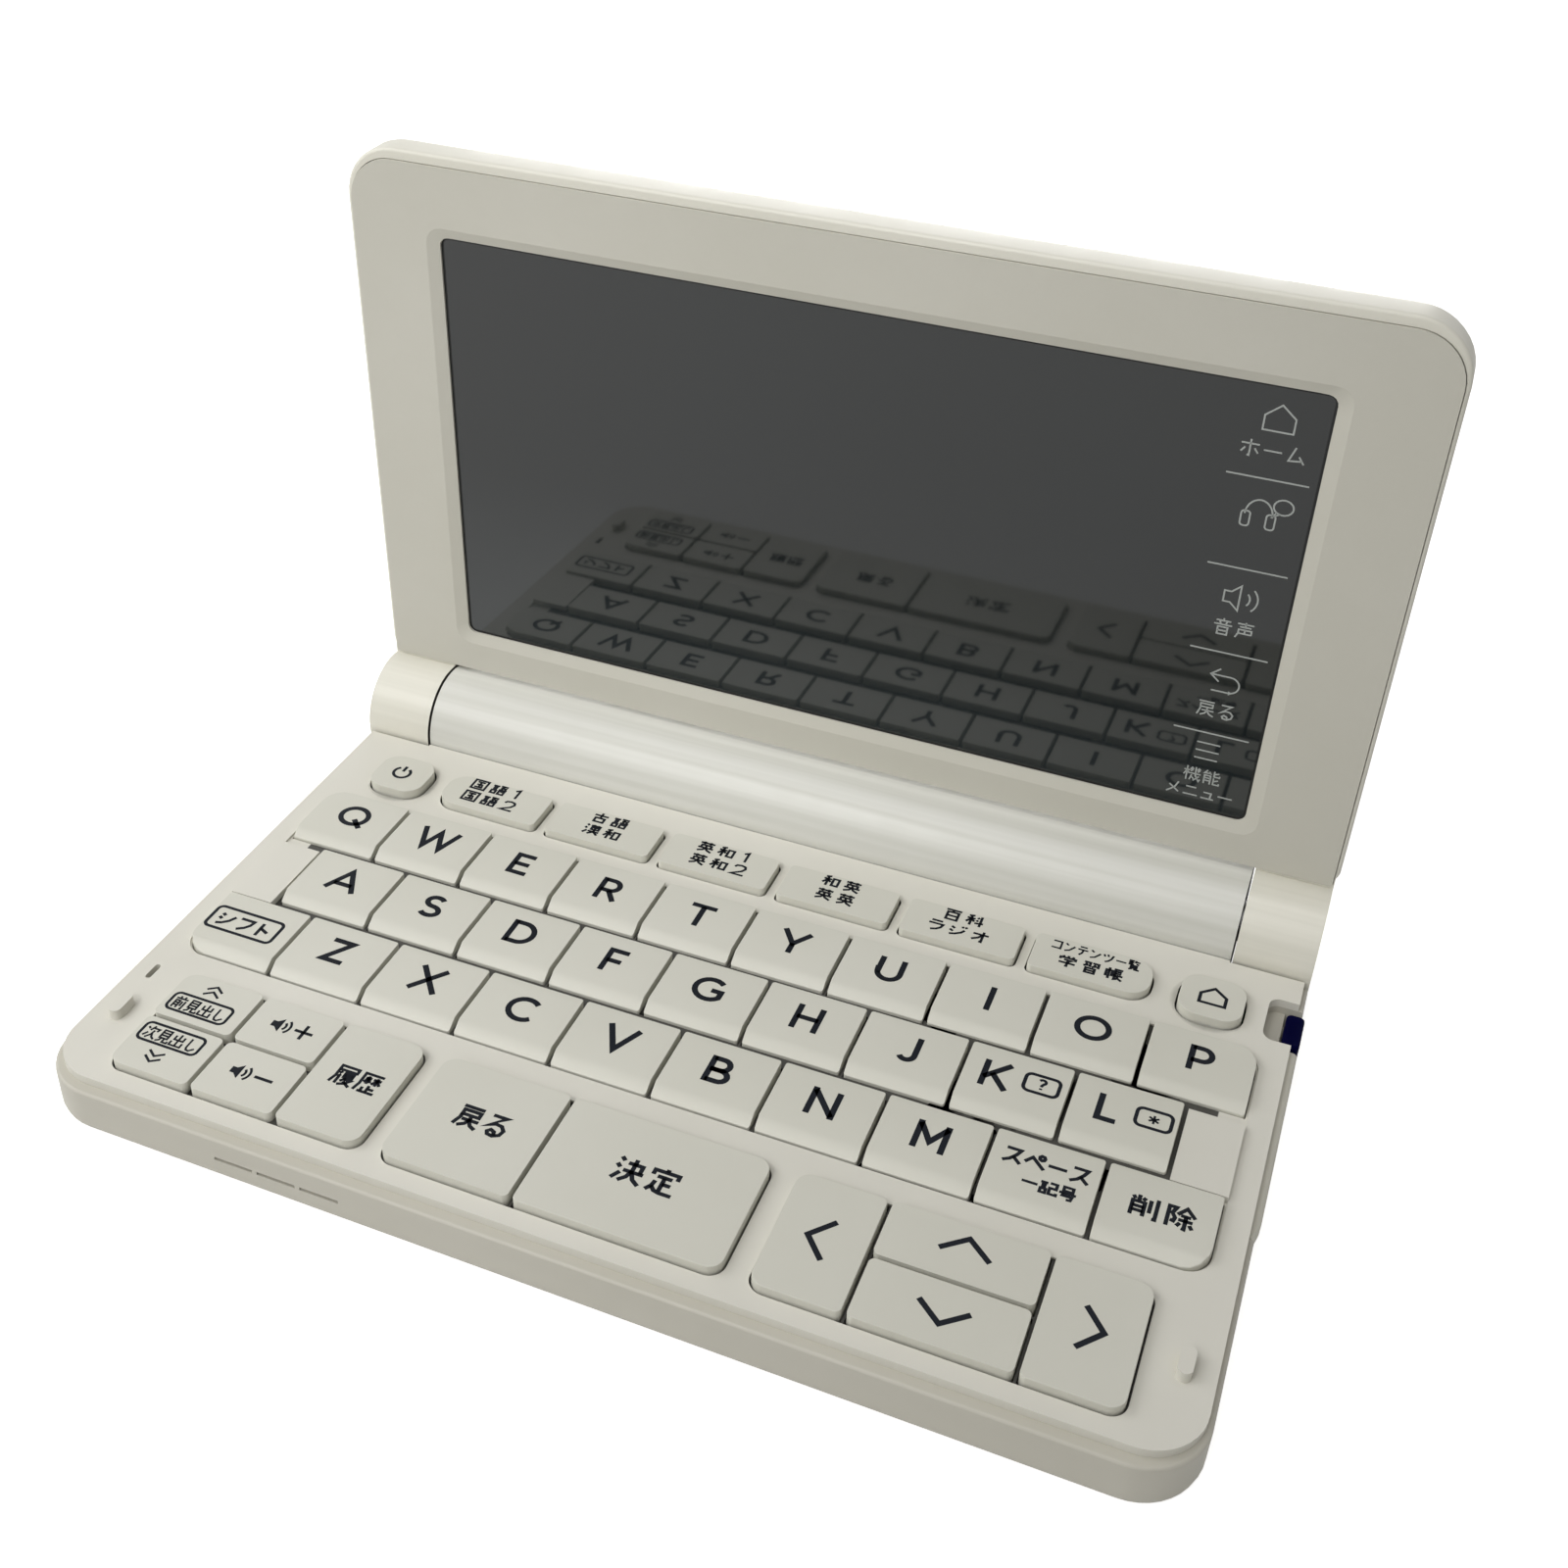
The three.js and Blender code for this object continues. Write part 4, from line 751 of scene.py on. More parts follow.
# Middle lines of small figures and word signs in a square of a hundred units. Lines are
# split by a slash, each point is "across,up", and a line that starts with o is closed.
SIGNS = {
    "0": "o50,94 30,80 24,50 30,20 50,6 70,20 76,50 70,80",
    "1": "26,78 50,94 50,5",
    "2": "16,74 26,90 50,95 74,88 80,70 66,44 14,7 86,7",
    "shi": "10,85 30,72/5,58 25,46/10,10 40,20 70,45 90,80",
    "fu": "10,85 87,85 80,55 60,30 25,8",
    "to": "30,95 30,5/30,60 80,38",
    "su": "15,85 80,85 65,55 40,25 10,8/52,42 90,8",
    "pe": "5,35 35,70 95,15/o88,78 83,88 72,90 64,82 66,70 76,65 85,69",
    "bar": "8,50 92,50",
    "ki": (
        "4,83 42,83/10,67 37,67/10,53 37,53/o10,8 10,37 37,37 37,8/"
        "53,88 90,88 90,53 56,53 56,10 94,10 94,26"
    ),
    "gou": "o26,66 26,94 74,94 74,66/6,50 94,50/32,50 26,31 76,31 72,8 50,6",
    "saku": (
        "29,98 29,70/8,90 16,76/50,90 42,76/9,3 9,67 50,67 50,6/9,46 50,46/9,27 50,27/69,86 69,28/"
        "92,97 92,6 82,6"
    ),
    "jo": (
        "8,2 8,92 32,92 21,64 33,46 29,29 18,32/39,63 67,98 98,63/50,62 84,62/44,42 92,42/"
        "68,62 68,5 59,7/52,29 42,12/83,29 94,12"
    ),
    "ri": (
        "o16,73 16,92 92,92 92,73/16,73 16,40 5,5/34,66 25,54/35,50 24,36/31,42 31,4/"
        "o50,42 50,62 86,62 86,42/50,52 86,52/63,39 46,20/56,32 88,32 70,14 43,3/60,23 95,3"
    ),
    "reki": (
        "94,92 13,92 13,40 4,4/24,72 50,72/37,83 37,44/36,70 23,50/38,70 50,52/58,72 92,72/"
        "75,83 75,44/74,70 58,48/76,70 93,49/58,40 58,6/35,28 35,6/58,24 85,24/22,6 94,6"
    ),
    "modo": (
        "10,92 90,92/o20,56 20,76 84,76 84,56/20,56 20,40 7,5/28,36 93,36/57,50 57,36 48,18 24,4/"
        "58,32 72,14 94,4"
    ),
    "ru": "18,90 72,90 14,40 44,57 68,54 83,37 77,16 56,5 35,8 29,19 39,29 54,23 58,7",
    "ketsu": (
        "8,92 22,80/4,64 18,52/5,6 24,36/36,76 84,76 84,46/30,46 96,46/58,96 58,50 49,24 29,4/"
        "60,44 72,20 96,4"
    ),
    "tei": (
        "50,98 50,86/10,66 10,85 90,85 90,66/26,64 74,64/50,64 50,10/50,39 78,39/26,46 22,24 8,5/"
        "21,24 36,9 54,5 94,5"
    ),
    "mae": (
        "30,96 38,84/70,96 62,84/6,78 94,78/16,3 16,62 46,62 46,5/16,44 46,44/16,26 46,26/"
        "64,60 64,22/85,66 85,5 74,5"
    ),
    "mi": "o22,34 22,92 78,92 78,34/22,73 78,73/22,54 78,54/38,34 32,15 9,4/60,34 60,6 93,6 93,20",
    "de": "50,96 50,8/18,82 18,52 82,52 82,82/10,38 10,8 90,8 90,38",
    "shii": "28,92 28,26 36,10 56,7 84,30",
    "tsugi": "8,84 24,70/8,14 30,44/52,96 34,60/48,80 92,80 83,60/64,66 58,34 32,4/62,40 74,18 97,4",
    "koku": "o8,5 8,93 92,93 92,5/26,75 74,75/30,50 70,50/24,23 76,23/50,75 50,23/62,40 70,32",
    "go": (
        "4,83 42,83/10,67 37,67/10,53 37,53/o10,8 10,37 37,37 37,8/50,90 94,90/68,90 62,52/"
        "54,72 86,72 84,52/48,52 98,52/o56,8 56,36 89,36 89,8"
    ),
    "ko": "8,70 92,70/50,96 50,44/o22,7 22,44 78,44 78,7",
    "kan": (
        "8,92 22,80/4,64 18,52/5,6 24,36/34,86 96,86/52,97 52,76/78,97 78,76/"
        "o44,50 44,70 88,70 88,50/66,70 66,28/32,30 98,30/65,28 36,4/68,28 96,4"
    ),
    "wa": "42,94 12,86/5,66 50,66/28,89 28,4/27,62 4,28/29,60 48,40/o59,14 59,76 92,76 92,14",
    "ei": (
        "8,85 92,85/32,97 32,73/68,97 68,73/22,38 22,64 78,64 78,38/5,38 95,38/50,72 50,40 38,18 9,4/"
        "51,36 64,18 92,4"
    ),
    "hyaku": "8,90 92,90/50,90 44,70/o20,5 20,70 80,70 80,5/20,38 80,38",
    "ka": (
        "42,94 12,86/5,66 50,66/28,89 28,4/27,62 4,28/29,60 48,40/60,82 70,72/57,58 68,48/"
        "52,28 98,36/82,95 82,4"
    ),
    "gaku": (
        "22,92 29,79/50,96 50,80/80,94 70,79/10,59 10,76 90,76 90,59/30,58 70,58 52,44 52,7 42,7/"
        "7,33 93,33"
    ),
    "shu": (
        "12,90 44,90 44,53/19,78 30,70/10,56 36,68/56,90 88,90 88,53/63,78 74,70/54,56 80,68/"
        "o26,4 26,42 74,42 74,4/26,23 74,23"
    ),
    "chou": (
        "9,20 9,74 40,74 40,26/24,96 24,3/92,92 54,92 54,41/54,75 88,75/54,58 88,58/46,41 98,41/"
        "56,41 56,8 70,15/66,40 76,18 97,4"
    ),
    "ran": (
        "46,92 10,92 10,54 46,54/10,73 44,73/27,92 27,54/62,97 54,74/59,84 93,84/64,64 88,62/"
        "o26,19 26,46 74,46 74,19/26,32 74,32/38,19 32,9 10,3/60,19 60,5 90,5 90,14"
    ),
    "ra": "20,90 80,90/10,64 88,64 80,38 60,18 30,6",
    "ji": "10,78 30,66/5,50 25,39/10,10 40,20 70,42 84,66/66,96 72,82/84,98 90,84",
    "o": "8,70 92,70/62,96 62,8 50,10/60,68 40,40 8,18",
    "kon": "14,84 84,84 84,8/10,16 84,16",
    "n": "10,86 34,70/12,10 50,24 90,70",
    "te": "20,90 80,90/8,62 92,62/54,62 48,30 26,6",
    "tsu": "10,80 20,58/40,86 50,64/88,84 76,46 56,22 30,8",
    "hou": "8,72 92,72/50,96 50,8 40,10/28,50 10,24/72,50 90,24",
    "mu": "46,92 20,16 82,24/66,46 92,8",
    "on": "50,98 50,86/14,84 86,84/32,80 38,64/68,80 62,64/6,61 94,61/o26,5 26,47 74,47 74,5/26,26 74,26",
    "sei": "10,87 90,87/50,98 50,70/22,70 78,70/18,32 18,54 82,54 82,30/18,32 82,32/49,54 49,32/18,32 6,4",
    "kii": (
        "4,70 36,70/20,97 20,4/19,66 4,36/21,64 34,48/48,94 40,79 54,72/54,88 42,64/"
        "86,94 78,79 92,72/92,88 80,64/38,52 97,52/67,97 69,40 90,5 97,20/48,42 39,6/46,30 62,16/"
        "89,38 60,5"
    ),
    "nou": (
        "24,96 8,74 44,78/34,88 46,70/10,4 10,60 44,60 44,4/10,43 44,43/10,26 44,26/"
        "62,96 62,60 92,60 93,70/62,76 88,86/62,50 62,8 93,8 94,20/62,28 88,39"
    ),
    "me": "76,92 56,46 12,8/24,64 82,20",
    "ni": "20,76 80,76/8,20 92,20",
    "yu": "24,58 70,58 66,18/12,16 88,16",
}


def sign_strokes(name):
    """The middle lines of one sign, one unit square."""
    strokes = []
    for line in SIGNS[name].split("/"):
        points = []
        for pair in line.lstrip("o").split():
            across, up = pair.split(",")
            points.append((int(across) / SIGN_SQUARE, int(up) / SIGN_SQUARE))
        strokes.append(("closed", points) if line[0] == "o" else points)
    return strokes


def word(mark, names, left, low, wide, tall, pitch, width):
    """A row of signs, each as wide and as tall as given, from the left end."""
    for place, name in enumerate(names.split()):
        put(mark, sign_strokes(name), width, left + place * pitch, low, wide, tall)


def put(mark, strokes, width, left, low, wide=1.0, tall=1.0):
    """Draws middle lines from a corner, widened and heightened by two scales."""
    for line in strokes:
        closed = isinstance(line, tuple)
        points = line[1] if closed else line
        mark.stroke([(left + x * wide, low + y * tall) for x, y in points], width, closed)


def key_surface(across, up, height):
    return (across, up, KEY_TOP + height)


def key_middle(node):
    low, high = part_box(node)
    return ((low.x + high.x) / 2 / MM, (low.y + high.y) / 2 / MM)


def chevron(mark, x, y, half_width, rise, width):
    """An open arrow head that points up, or down where the rise is negative."""
    mark.stroke([(x - half_width, y - rise / 2), (x, y + rise / 2), (x + half_width, y - rise / 2)], width)


def side_chevron(mark, x, y, half_height, run, width):
    mark.stroke([(x - run / 2, y + half_height), (x + run / 2, y), (x - run / 2, y - half_height)], width)


def speaker(mark, x, y, size, width):
    """A loudspeaker with two sound arcs to its right."""
    body = [(-1.0, -0.35), (-0.55, -0.35), (0.0, -0.85), (0.0, 0.85), (-0.55, 0.35), (-1.0, 0.35)]
    mark.solid([(x + a * size, y + b * size) for a, b in body])
    for reach in (0.55, 1.0):
        mark.stroke(arc(x - 0.1 * size, y, reach * size, reach * size, -48, 48, 8), width)


def boxed(mark, x, y, half_width, half_height, width):
    points = rounded_box(x - half_width, y - half_height, x + half_width, y + half_height, 0.75)
    mark.stroke(points, width, True)


def letter_marks(material):
    capitals = letter_table()
    for letters, row_back in LETTER_ROWS:
        for letter in letters:
            node = f"key_{letter}"
            x, _ = key_middle(node)
            mark = Print(key_surface)
            width, strokes = capitals[letter.upper()]
            left = x - width / 2
            if letter == "k":
                left = x - 4.35
                boxed(mark, x + 3.35, row_back - 4.3, 2.2, 1.55, 0.48)
                hook = arc(0.3, 1.45, 0.42, 0.38, 160, -60, 8) + [(0.3, 0.75), (0.3, 0.55)]
                put(mark, [hook, [(0.3, 0.3), (0.3, 0.05)]], 0.4, x + 3.05, row_back - 5.2)
            if letter == "l":
                left = x - 3.5
                star_x, star_y = x + 3.65, row_back - 4.5
                boxed(mark, star_x, star_y, 2.2, 1.55, 0.48)
                for turn in (0, 60, 120):
                    lean = math.radians(turn + 90)
                    dx, dy = 0.72 * math.cos(lean), 0.72 * math.sin(lean)
                    mark.stroke([(star_x - dx, star_y - dy), (star_x + dx, star_y + dy)], 0.3)
            put(mark, strokes, CAP_STROKE, left, row_back - ROW_TEXT_DROP - CAP_HEIGHT)
            mark.piece(f"legend_{letter}", node, material)


def turned_arrow_mark(mark, x, y, size, width):
    """A line that turns back to the left, with an arrow head."""
    shaft = [(-1.0, -1.0), (0.45, -1.0)] + arc(0.45, -0.2, 0.8, 0.8, -90, 90, 12) + [(-1.2, 0.6)]
    head = [(-0.5, 1.25), (-1.25, 0.6), (-0.5, -0.05)]
    put(mark, [shaft, head], width, x, y, size, size)


TOPIC_WORDS = [
    ("koku go 1", -50.95, "koku go 2", -50.95),
    ("ko go", -30.7, "kan wa", -30.7),
    ("ei wa 1", -13.65, "ei wa 2", -13.65),
    ("wa ei", 5.75, "ei ei", 5.75),
    ("hyaku ka", 23.85, "ra ji o", 22.25),
    ("kon n te n tsu bar ran", 39.35, "gaku shu chou", 40.95),
]


def topic_marks(on):
    """Two short lines on each key of the upper row; a long line has narrower signs."""
    for place, (upper, upper_left, lower, lower_left) in enumerate(TOPIC_WORDS):
        mark, _, _ = on(f"key_topic_{place + 1}")
        crowded = len(upper.split()) > 5
        wide, tall, pitch = (1.65, 2.1, 1.78) if crowded else (2.6, 2.45, 3.2)
        word(mark, upper, upper_left, 23.3, wide, tall, pitch, 0.29 if crowded else 0.38)
        word(mark, lower, lower_left, 20.25, 2.6, 2.45, 3.2, 0.38)


def key_marks(material):
    letter_marks(material)
    marks = {}

    def on(node):
        marks[node] = Print(key_surface)
        x, y = key_middle(node)
        return marks[node], x, y

    mark, _, _ = on("key_shift")
    boxed(mark, -63.6, -17.25, 5.2, 2.15, 0.48)
    word(mark, "shi fu to", -67.8, -18.75, 2.7, 2.8, 2.95, 0.48)
    mark, _, _ = on("key_space")
    word(mark, "su pe bar su", 43.1, -17.05, 2.7, 2.85, 2.75, 0.48)
    word(mark, "bar ki gou", 46.2, -20.15, 2.3, 2.2, 2.3, 0.4)
    mark, _, _ = on("key_delete")
    word(mark, "saku jo", 58.95, -19.1, 3.5, 3.5, 4.25, 0.5)
    topic_marks(on)
    mark, x, y = on("key_power")
    mark.stroke(arc(x - 0.2, y + 0.1, 1.3, 1.3, 125, 415, 24), 0.48)
    mark.stroke([(x - 0.2, y + 1.75), (x - 0.2, y + 0.4)], 0.48)
    mark, x, y = on("key_home")
    house_mark(mark, x + 0.1, y, 1.7, 0.46)
    mark, _, _ = on("key_previous")
    boxed(mark, -59.35, -33.6, 4.4, 1.55, 0.4)
    word(mark, "mae mi de shii", -63.35, -34.85, 2.0, 2.35, 2.03, 0.29)
    chevron(mark, -59.45, -29.75, 1.15, 0.8, 0.34)
    chevron(mark, -59.45, -30.75, 1.15, 0.8, 0.34)
    mark, _, _ = on("key_next")
    boxed(mark, -59.35, -39.65, 4.4, 1.55, 0.4)
    word(mark, "tsugi mi de shii", -63.35, -40.85, 2.0, 2.35, 2.03, 0.29)
    chevron(mark, -59.45, -42.75, 1.15, -0.8, 0.34)
    chevron(mark, -59.45, -43.75, 1.15, -0.8, 0.34)
    for name, up in (("key_volume_up", -32.05), ("key_volume_down", -41.1)):
        mark, _, _ = on(name)
        speaker(mark, -47.95, up, 1.42, 0.34)
        mark.stroke([(-45.95, up), (-43.35, up)], 0.46)
        if name == "key_volume_up":
            mark.stroke([(-44.65, up + 1.3), (-44.65, up - 1.3)], 0.46)
    mark, _, _ = on("key_history")
    word(mark, "ri reki", -37.45, -38.2, 3.2, 3.5, 3.5, 0.42)
    mark, _, _ = on("key_back")
    word(mark, "modo ru", -20.05, -38.25, 3.5, 3.7, 3.75, 0.52)
    mark, _, _ = on("key_enter")
    word(mark, "ketsu tei", 1.2, -38.4, 3.9, 4.05, 4.35, 0.56)
    mark, x, y = on("key_left")
    side_chevron(mark, x - 0.2, y + 0.1, 2.95, -2.6, 0.72)
    mark, x, y = on("key_right")
    side_chevron(mark, x + 0.3, y + 0.1, 2.95, 2.6, 0.72)
    mark, x, y = on("key_up")
    chevron(mark, x + 0.3, -31.4, 3.0, 2.5, 0.72)
    mark, x, y = on("key_down")
    chevron(mark, x + 0.3, -41.6, 3.0, -2.5, 0.72)
    for node, mark in marks.items():
        mark.piece(node.replace("key_", "legend_"), node, material)


def house_mark(mark, x, y, size, width):
    outline = [(-1.0, -0.85), (1.0, -0.85), (1.0, 0.2), (0.0, 1.05), (-1.0, 0.2)]
    put(mark, [("closed", outline)], width, x, y, size, size)


# The lid's glass

HINGE_LINE = Matrix.Translation(Vector((0, HINGE_Y, HINGE_Z)))
LID_FRAME = HINGE_LINE @ Matrix.Rotation(math.radians(LID_LEAN), 4, "X")


def glass_surface(across, up, height):
    """Across and up are counted on the bezel, up from its lower edge."""
    return LID_FRAME @ Vector((across, FACE_OFFSET + PANEL_DEPTH - height, LID_LOW + up))


def touch_strip_marks(material):
    mark = Print(glass_surface)
    line = 0.22
    for up, left in ((58.55, 48.85), (45.55, 48.7), (32.7, 48.55), (19.7, 48.4)):
        mark.stroke([(left, up), (left + 10.05, up)], line)
    house_mark(mark, 53.95, 66.6, 1.85, line)
    word(mark, "hou bar mu", 49.8, 61.1, 2.6, 2.5, 2.75, line)
    mark.stroke(arc(53.7, 53.4, 1.7, 2.2, 0, 180, 14), line)
    for side in (-1, 1):
        middle = 53.7 + side * 1.55
        mark.stroke(rounded_box(middle - 0.55, 51.7, middle + 0.55, 53.8, 0.4, 4), line, True)
    mark.stroke(ring(56.5, 55.1, 1.2, 1.05, 20), line, True)
    mark.stroke([(55.8, 54.3), (55.35, 53.6), (56.2, 54.1)], line)
    horn = [(-1.0, -0.5), (-0.45, -0.5), (0.25, -1.15), (0.25, 1.15), (-0.45, 0.5), (-1.0, 0.5)]
    put(mark, [("closed", horn)], line, 53.1, 41.2, 1.6, 1.6)
    for reach in (1.2, 2.2):
        mark.stroke(arc(53.6, 41.2, reach, reach, -45, 45, 8), line)
    word(mark, "on sei", 50.85, 35.3, 2.6, 2.6, 2.85, line)
    turned_arrow_mark(mark, 53.8, 28.2, 1.55, line)
    word(mark, "modo ru", 50.85, 22.3, 2.5, 2.55, 2.75, line)
    for up in (18.0, 16.7, 15.4):
        mark.stroke([(51.85, up), (54.95, up)], line)
    word(mark, "kii nou", 50.8, 11.3, 2.45, 2.5, 2.65, line * 0.9)
    word(mark, "me ni yu bar", 48.75, 8.55, 2.3, 2.3, 2.35, line)
    mark.piece("touch_strip_icons", "lid", material)


def glass_border(material):
    """The thin black border printed round the display, at the edge of the window."""
    mark = Print(glass_surface, rise=0.02)
    inset = 0.1
    points = rounded_box(
        -WINDOW_HALF_WIDTH + inset, WINDOW_LOW + inset, WINDOW_HALF_WIDTH - inset, WINDOW_HIGH - inset, 1.1
    )
    mark.stroke(points, 0.5, True)
    mark.piece("glass_border", "lid", material)


# Repeated and coiled pieces


def shape_tree(name, whole=(), lengths=(), vectors=()):
    """An empty geometry tree with these sizes and a material as its named inputs."""
    kinds = [("Int", whole), ("Float", lengths), ("Vector", vectors), ("Material", ["Material"])]
    inputs = [(size, kind, None) for kind, sizes in kinds for size in sizes]
    tree, source, sink = new_group(name, "GeometryNodeTree", inputs, [("Geometry", "Geometry", None)])
    tree.is_modifier = True
    return tree, source, sink


def feed(tree, source, node, inputs):
    """Links a tree's own sizes to a node: each of the node's inputs with its size."""
    for name, size in inputs.items():
        wire(tree, source, size, node, name)


def repeated(tree, points, piece):
    """The same piece on every point."""
    spread = tree.nodes.new("GeometryNodeInstanceOnPoints")
    tree.links.new(points, spread.inputs["Points"])
    tree.links.new(piece, spread.inputs["Instance"])
    return spread.outputs["Instances"]


def end_tree(tree, source, sink, shape):
    """Real geometry with its material, as every tree here ends."""
    real = tree.nodes.new("GeometryNodeRealizeInstances")
    paint = tree.nodes.new("GeometryNodeSetMaterial")
    tree.links.new(shape, real.inputs["Geometry"])
    wire(tree, real, "Geometry", paint, "Geometry")
    wire(tree, source, "Material", paint, "Material")
    wire(tree, paint, "Geometry", sink, "Geometry")
    return tree


def feet_tree():
    """Four discs with a narrower lower rim, at the corners of a rectangle."""
    sizes = ["Across", "Along", "Radius", "Thickness", "Rim"]
    tree, source, sink = shape_tree("Rubber feet", lengths=sizes)
    grid = added(tree, "GeometryNodeMeshGrid", {"Vertices X": 2, "Vertices Y": 2})
    feed(tree, source, grid, {"Size X": "Across", "Size Y": "Along"})
    disc = added(tree, "GeometryNodeMeshCylinder", {"Vertices": 48})
    feed(tree, source, disc, {"Radius": "Radius", "Depth": "Thickness"})
    rim = tree.nodes.new("GeometryNodeExtrudeMesh")
    wire(tree, disc, "Mesh", rim, "Mesh")
    wire(tree, disc, "Bottom", rim, "Selection")
    feed(tree, source, rim, {"Offset Scale": "Rim"})
    narrow = added(tree, "GeometryNodeScaleElements", {"Scale": 0.94})
    wire(tree, rim, "Mesh", narrow, "Geometry")
    wire(tree, rim, "Top", narrow, "Selection")
    feet = repeated(tree, grid.outputs["Mesh"], narrow.outputs["Geometry"])
    return end_tree(tree, source, sink, feet)


def tube(tree, path, radius, steps):
    """A round solid along a curve, with closed ends."""
    section = added(tree, "GeometryNodeCurvePrimitiveCircle", {"Resolution": steps})
    tree.links.new(radius, section.inputs["Radius"])
    sweep = added(tree, "GeometryNodeCurveToMesh", {"Fill Caps": True})
    tree.links.new(path, sweep.inputs["Curve"])
    wire(tree, section, "Curve", sweep, "Profile Curve")
    return sweep.outputs["Mesh"]


def ribs_tree():
    """Straight ribs side by side round part of a cylinder that lies along X."""
    lengths = ["Cylinder radius", "First angle", "Sweep", "Rib radius"]
    tree, source, sink = shape_tree("Grip ribs", ["Count"], lengths, ["Start", "End"])
    around = tree.nodes.new("GeometryNodeCurveArc")
    bend = {"Resolution": "Count", "Radius": "Cylinder radius"}
    feed(tree, source, around, {**bend, "Start Angle": "First angle", "Sweep Angle": "Sweep"})
    line = tree.nodes.new("GeometryNodeCurvePrimitiveLine")
    feed(tree, source, line, {"Start": "Start", "End": "End"})
    rib = tube(tree, line.outputs["Curve"], source.outputs["Rib radius"], 12)
    return end_tree(tree, source, sink, repeated(tree, around.outputs["Curve"], rib))


def spring_tree():
    """A cone-shaped coil of wire."""
    sizes = ["Turns", "Wide radius", "Narrow radius", "Height", "Wire radius"]
    tree, source, sink = shape_tree("Contact spring", lengths=sizes)
    coil = added(tree, "GeometryNodeCurveSpiral", {"Resolution": 32})
    feed(tree, source, coil, {"Rotations": "Turns", "Height": "Height"})
    feed(tree, source, coil, {"Start Radius": "Wide radius", "End Radius": "Narrow radius"})
    coiled = tube(tree, coil.outputs["Curve"], source.outputs["Wire radius"], 8)
    return end_tree(tree, source, sink, coiled)


def pins_tree():
    """A row of flat pins side by side."""
    tree, source, sink = shape_tree("Pin row", ["Count"], vectors=["Pitch", "Pin size"])
    row = tree.nodes.new("GeometryNodeMeshLine")
    feed(tree, source, row, {"Count": "Count", "Offset": "Pitch"})
    pin = tree.nodes.new("GeometryNodeMeshCube")
    feed(tree, source, pin, {"Size": "Pin size"})
    return end_tree(tree, source, sink, repeated(tree, row.outputs["Mesh"], pin.outputs["Mesh"]))


def grown(name, tree, sizes, material, place, body):
    """Runs a tree with these sizes, keeps the plain mesh, and puts it in its place."""
    item = bpy.data.objects.new(name, bpy.data.meshes.new(name + "_start"))
    bpy.context.scene.collection.objects.link(item)
    modifier = item.modifiers.new("grow", "NODES")
    modifier.node_group = tree
    set_inputs(modifier, tree, {**sizes, "Material": material})
    settled = bpy.context.evaluated_depsgraph_get()
    mesh = bpy.data.meshes.new_from_object(item.evaluated_get(settled), depsgraph=settled)
    item.modifiers.remove(modifier)
    mesh.name = name
    mesh.transform(place)
    item.data = mesh
    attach(item, body)


def moved(x, y, z):
    return Matrix.Translation(Vector((x, y, z)) * MM)


def hidden_details(materials):
    """Feet, ribs, springs and socket contacts, which other views show."""
    feet = {
        "Across": 120 * MM,
        "Along": 64.24 * MM,
        "Radius": 3.85 * MM,
        "Thickness": 0.4 * MM,
        "Rim": 0.15 * MM,
    }
    grown("rubber_feet", feet_tree(), feet, materials["foot"], moved(0, FEET_MIDDLE, 0.38), "base")
    ribs = {
        "Count": 6,
        "Cylinder radius": BARREL_REAR_RADIUS * MM,
        "First angle": math.radians(-52),
        "Sweep": math.radians(28),
        "Start": (0, 0, -9 * MM),
        "End": (0, 0, 9 * MM),
        "Rib radius": 0.16 * MM,
    }
    upright = Matrix(((0, 0, 1, 0), (1, 0, 0, 0), (0, 1, 0, 0), (0, 0, 0, 1)))
    place = moved(0, BARREL_Y, BARREL_Z) @ upright
    grown("cover_grip_ribs", ribs_tree(), ribs, materials["case"], place, "battery_cover")
    spring = {
        "Turns": 2.6,
        "Wide radius": 4.2 * MM,
        "Narrow radius": 2.0 * MM,
        "Height": 0.75 * MM,
        "Wire radius": 0.18 * MM,
    }
    place = moved(51.65, BARREL_Y, BARREL_Z) @ Matrix.Rotation(math.radians(-90), 4, "Y")
    grown("contact_spring", spring_tree(), spring, materials["contact"], place, "base")
    pins = {"Count": 9, "Pitch": (0, 1.1 * MM, 0), "Pin size": (0.8 * MM, 0.6 * MM, 0.16 * MM)}
    place = moved(-72.3, CARD_Y - 4.4, SOCKET_Z - 0.3)
    grown("card_contacts", pins_tree(), pins, materials["contact"], place, "base")


def settle(name, mesh, material, body):
    """Turns a closed mesh's faces outwards and makes a piece of it."""
    bmesh.ops.recalc_face_normals(mesh, faces=mesh.faces)
    data = bpy.data.meshes.new(name)
    mesh.to_mesh(data)
    mesh.free()
    data.materials.append(material)
    ride_piece(name, data, body)


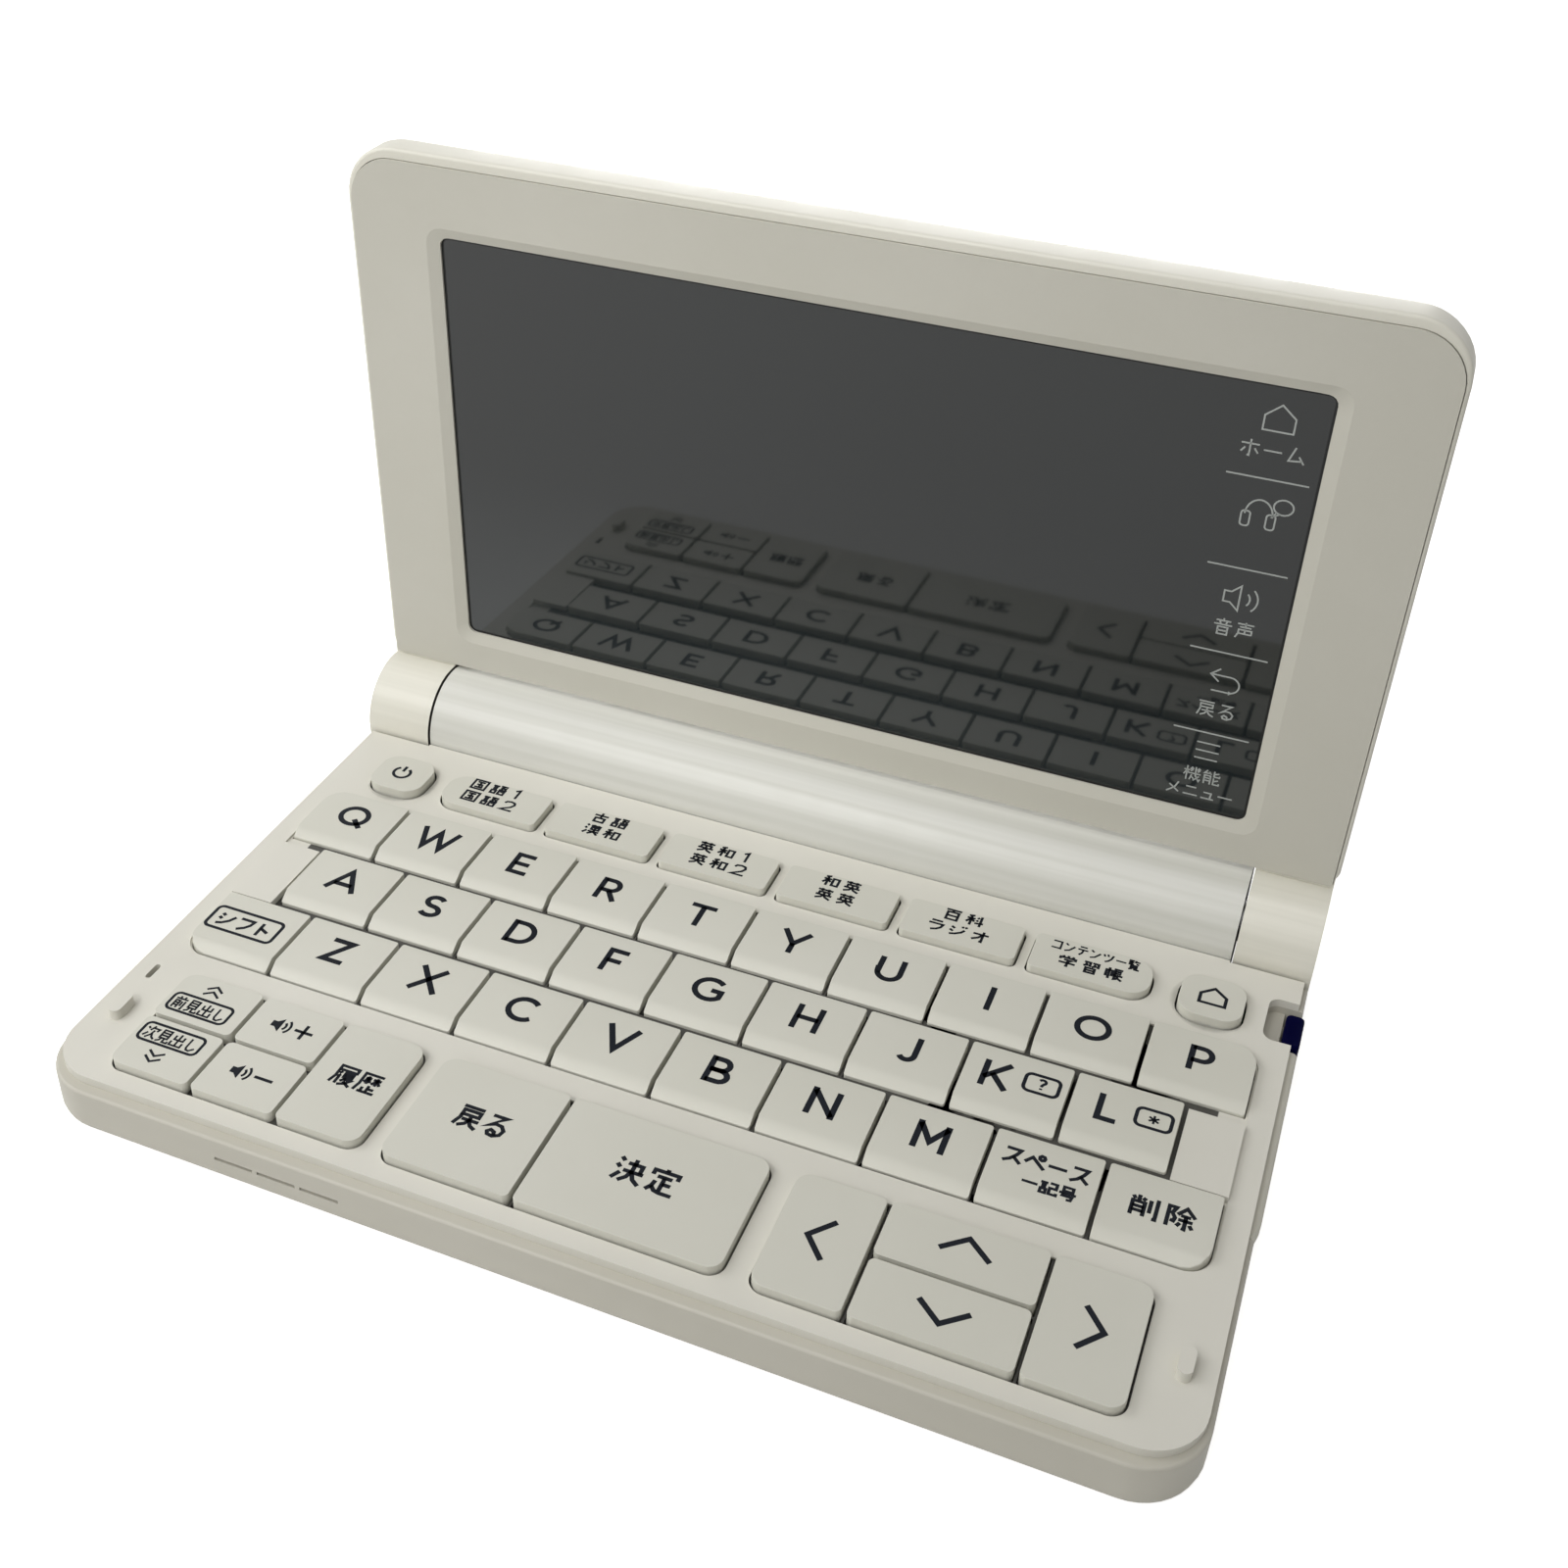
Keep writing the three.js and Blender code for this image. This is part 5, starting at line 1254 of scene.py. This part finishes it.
def hollow_ring(name, middle, outer, inner, depth, material, body, steps=40):
    """A short tube along X, with its front edge rounded, round a socket's mouth."""
    mesh = bmesh.new()
    profile = [(0.0, inner), (0.0, outer - 0.12), (0.12, outer), (depth, outer), (depth, inner)]
    loops = []
    for run, radius in profile:
        loop = []
        for step in range(steps):
            turn = 2 * math.pi * step / steps
            spot = Vector((run, radius * math.cos(turn), radius * math.sin(turn)))
            loop.append(mesh.verts.new((Vector(middle) + spot) * MM))
        loops.append(loop)
    for place in range(len(profile)):
        here, there = loops[place], loops[(place + 1) % len(profile)]
        for step in range(steps):
            after = (step + 1) % steps
            mesh.faces.new((here[step], there[step], there[after], here[after]))
    settle(name, mesh, material, body)


def chamfered_block(name, low, high, chamfer, material, body):
    """A block whose long edges along X are cut at 45 degrees."""
    mesh = bmesh.new()
    x0, y0, z0 = low
    x1, y1, z1 = high
    c = chamfer
    front = [(y0 + c, z1), (y0, z1 - c), (y0, z0 + c), (y0 + c, z0)]
    rear = [(y1 - c, z0), (y1, z0 + c), (y1, z1 - c), (y1 - c, z1)]
    outline = front[3:] + rear + front[:3]
    near = [mesh.verts.new(Vector((x0, y, z)) * MM) for y, z in outline]
    far = [mesh.verts.new(Vector((x1, y, z)) * MM) for y, z in outline]
    mesh.faces.new(near[::-1])
    mesh.faces.new(far)
    for place in range(len(outline)):
        after = (place + 1) % len(outline)
        mesh.faces.new((near[place], near[after], far[after], far[place]))
    settle(name, mesh, material, body)


def socket_details(materials):
    """What shows inside the three openings in the left wall."""
    dark = materials["edge"]
    backs = [
        ("jack", JACK_Y, JACK_Z, 1.2, 1.2),
        ("cable_socket", USB_Y, SOCKET_Z, 3.6, 0.9),
        ("card_slot", CARD_Y, SOCKET_Z, 5.7, 0.42),
    ]
    for name, y, z, half_width, half_height in backs:
        low = (SOCKET_BACK, y - half_width, z - half_height)
        high = (SOCKET_BACK + 0.23, y + half_width, z + half_height)
        chamfered_block(name + "_back", low, high, 0.1, dark, "base")
    hollow_ring("jack_ring", (-73.0, JACK_Y, JACK_Z), 1.7, 1.25, 1.0, materials["contact"], "base")
    low = (-72.9, USB_Y - 2.6, SOCKET_Z - 0.3)
    high = (-71.96, USB_Y + 2.6, SOCKET_Z + 0.3)
    chamfered_block("cable_socket_tongue", low, high, 0.12, dark, "base")


# Run

scene = bpy.context.scene
scene.view_settings.view_transform = "Standard"
make_camera()
make_lights()
make_world()
make_floor()
materials = make_materials()
dress_solids(materials)
key_marks(materials["ink"])
touch_strip_marks(materials["glass_ink"])
glass_border(materials["edge"])
hidden_details(materials)
socket_details(materials)
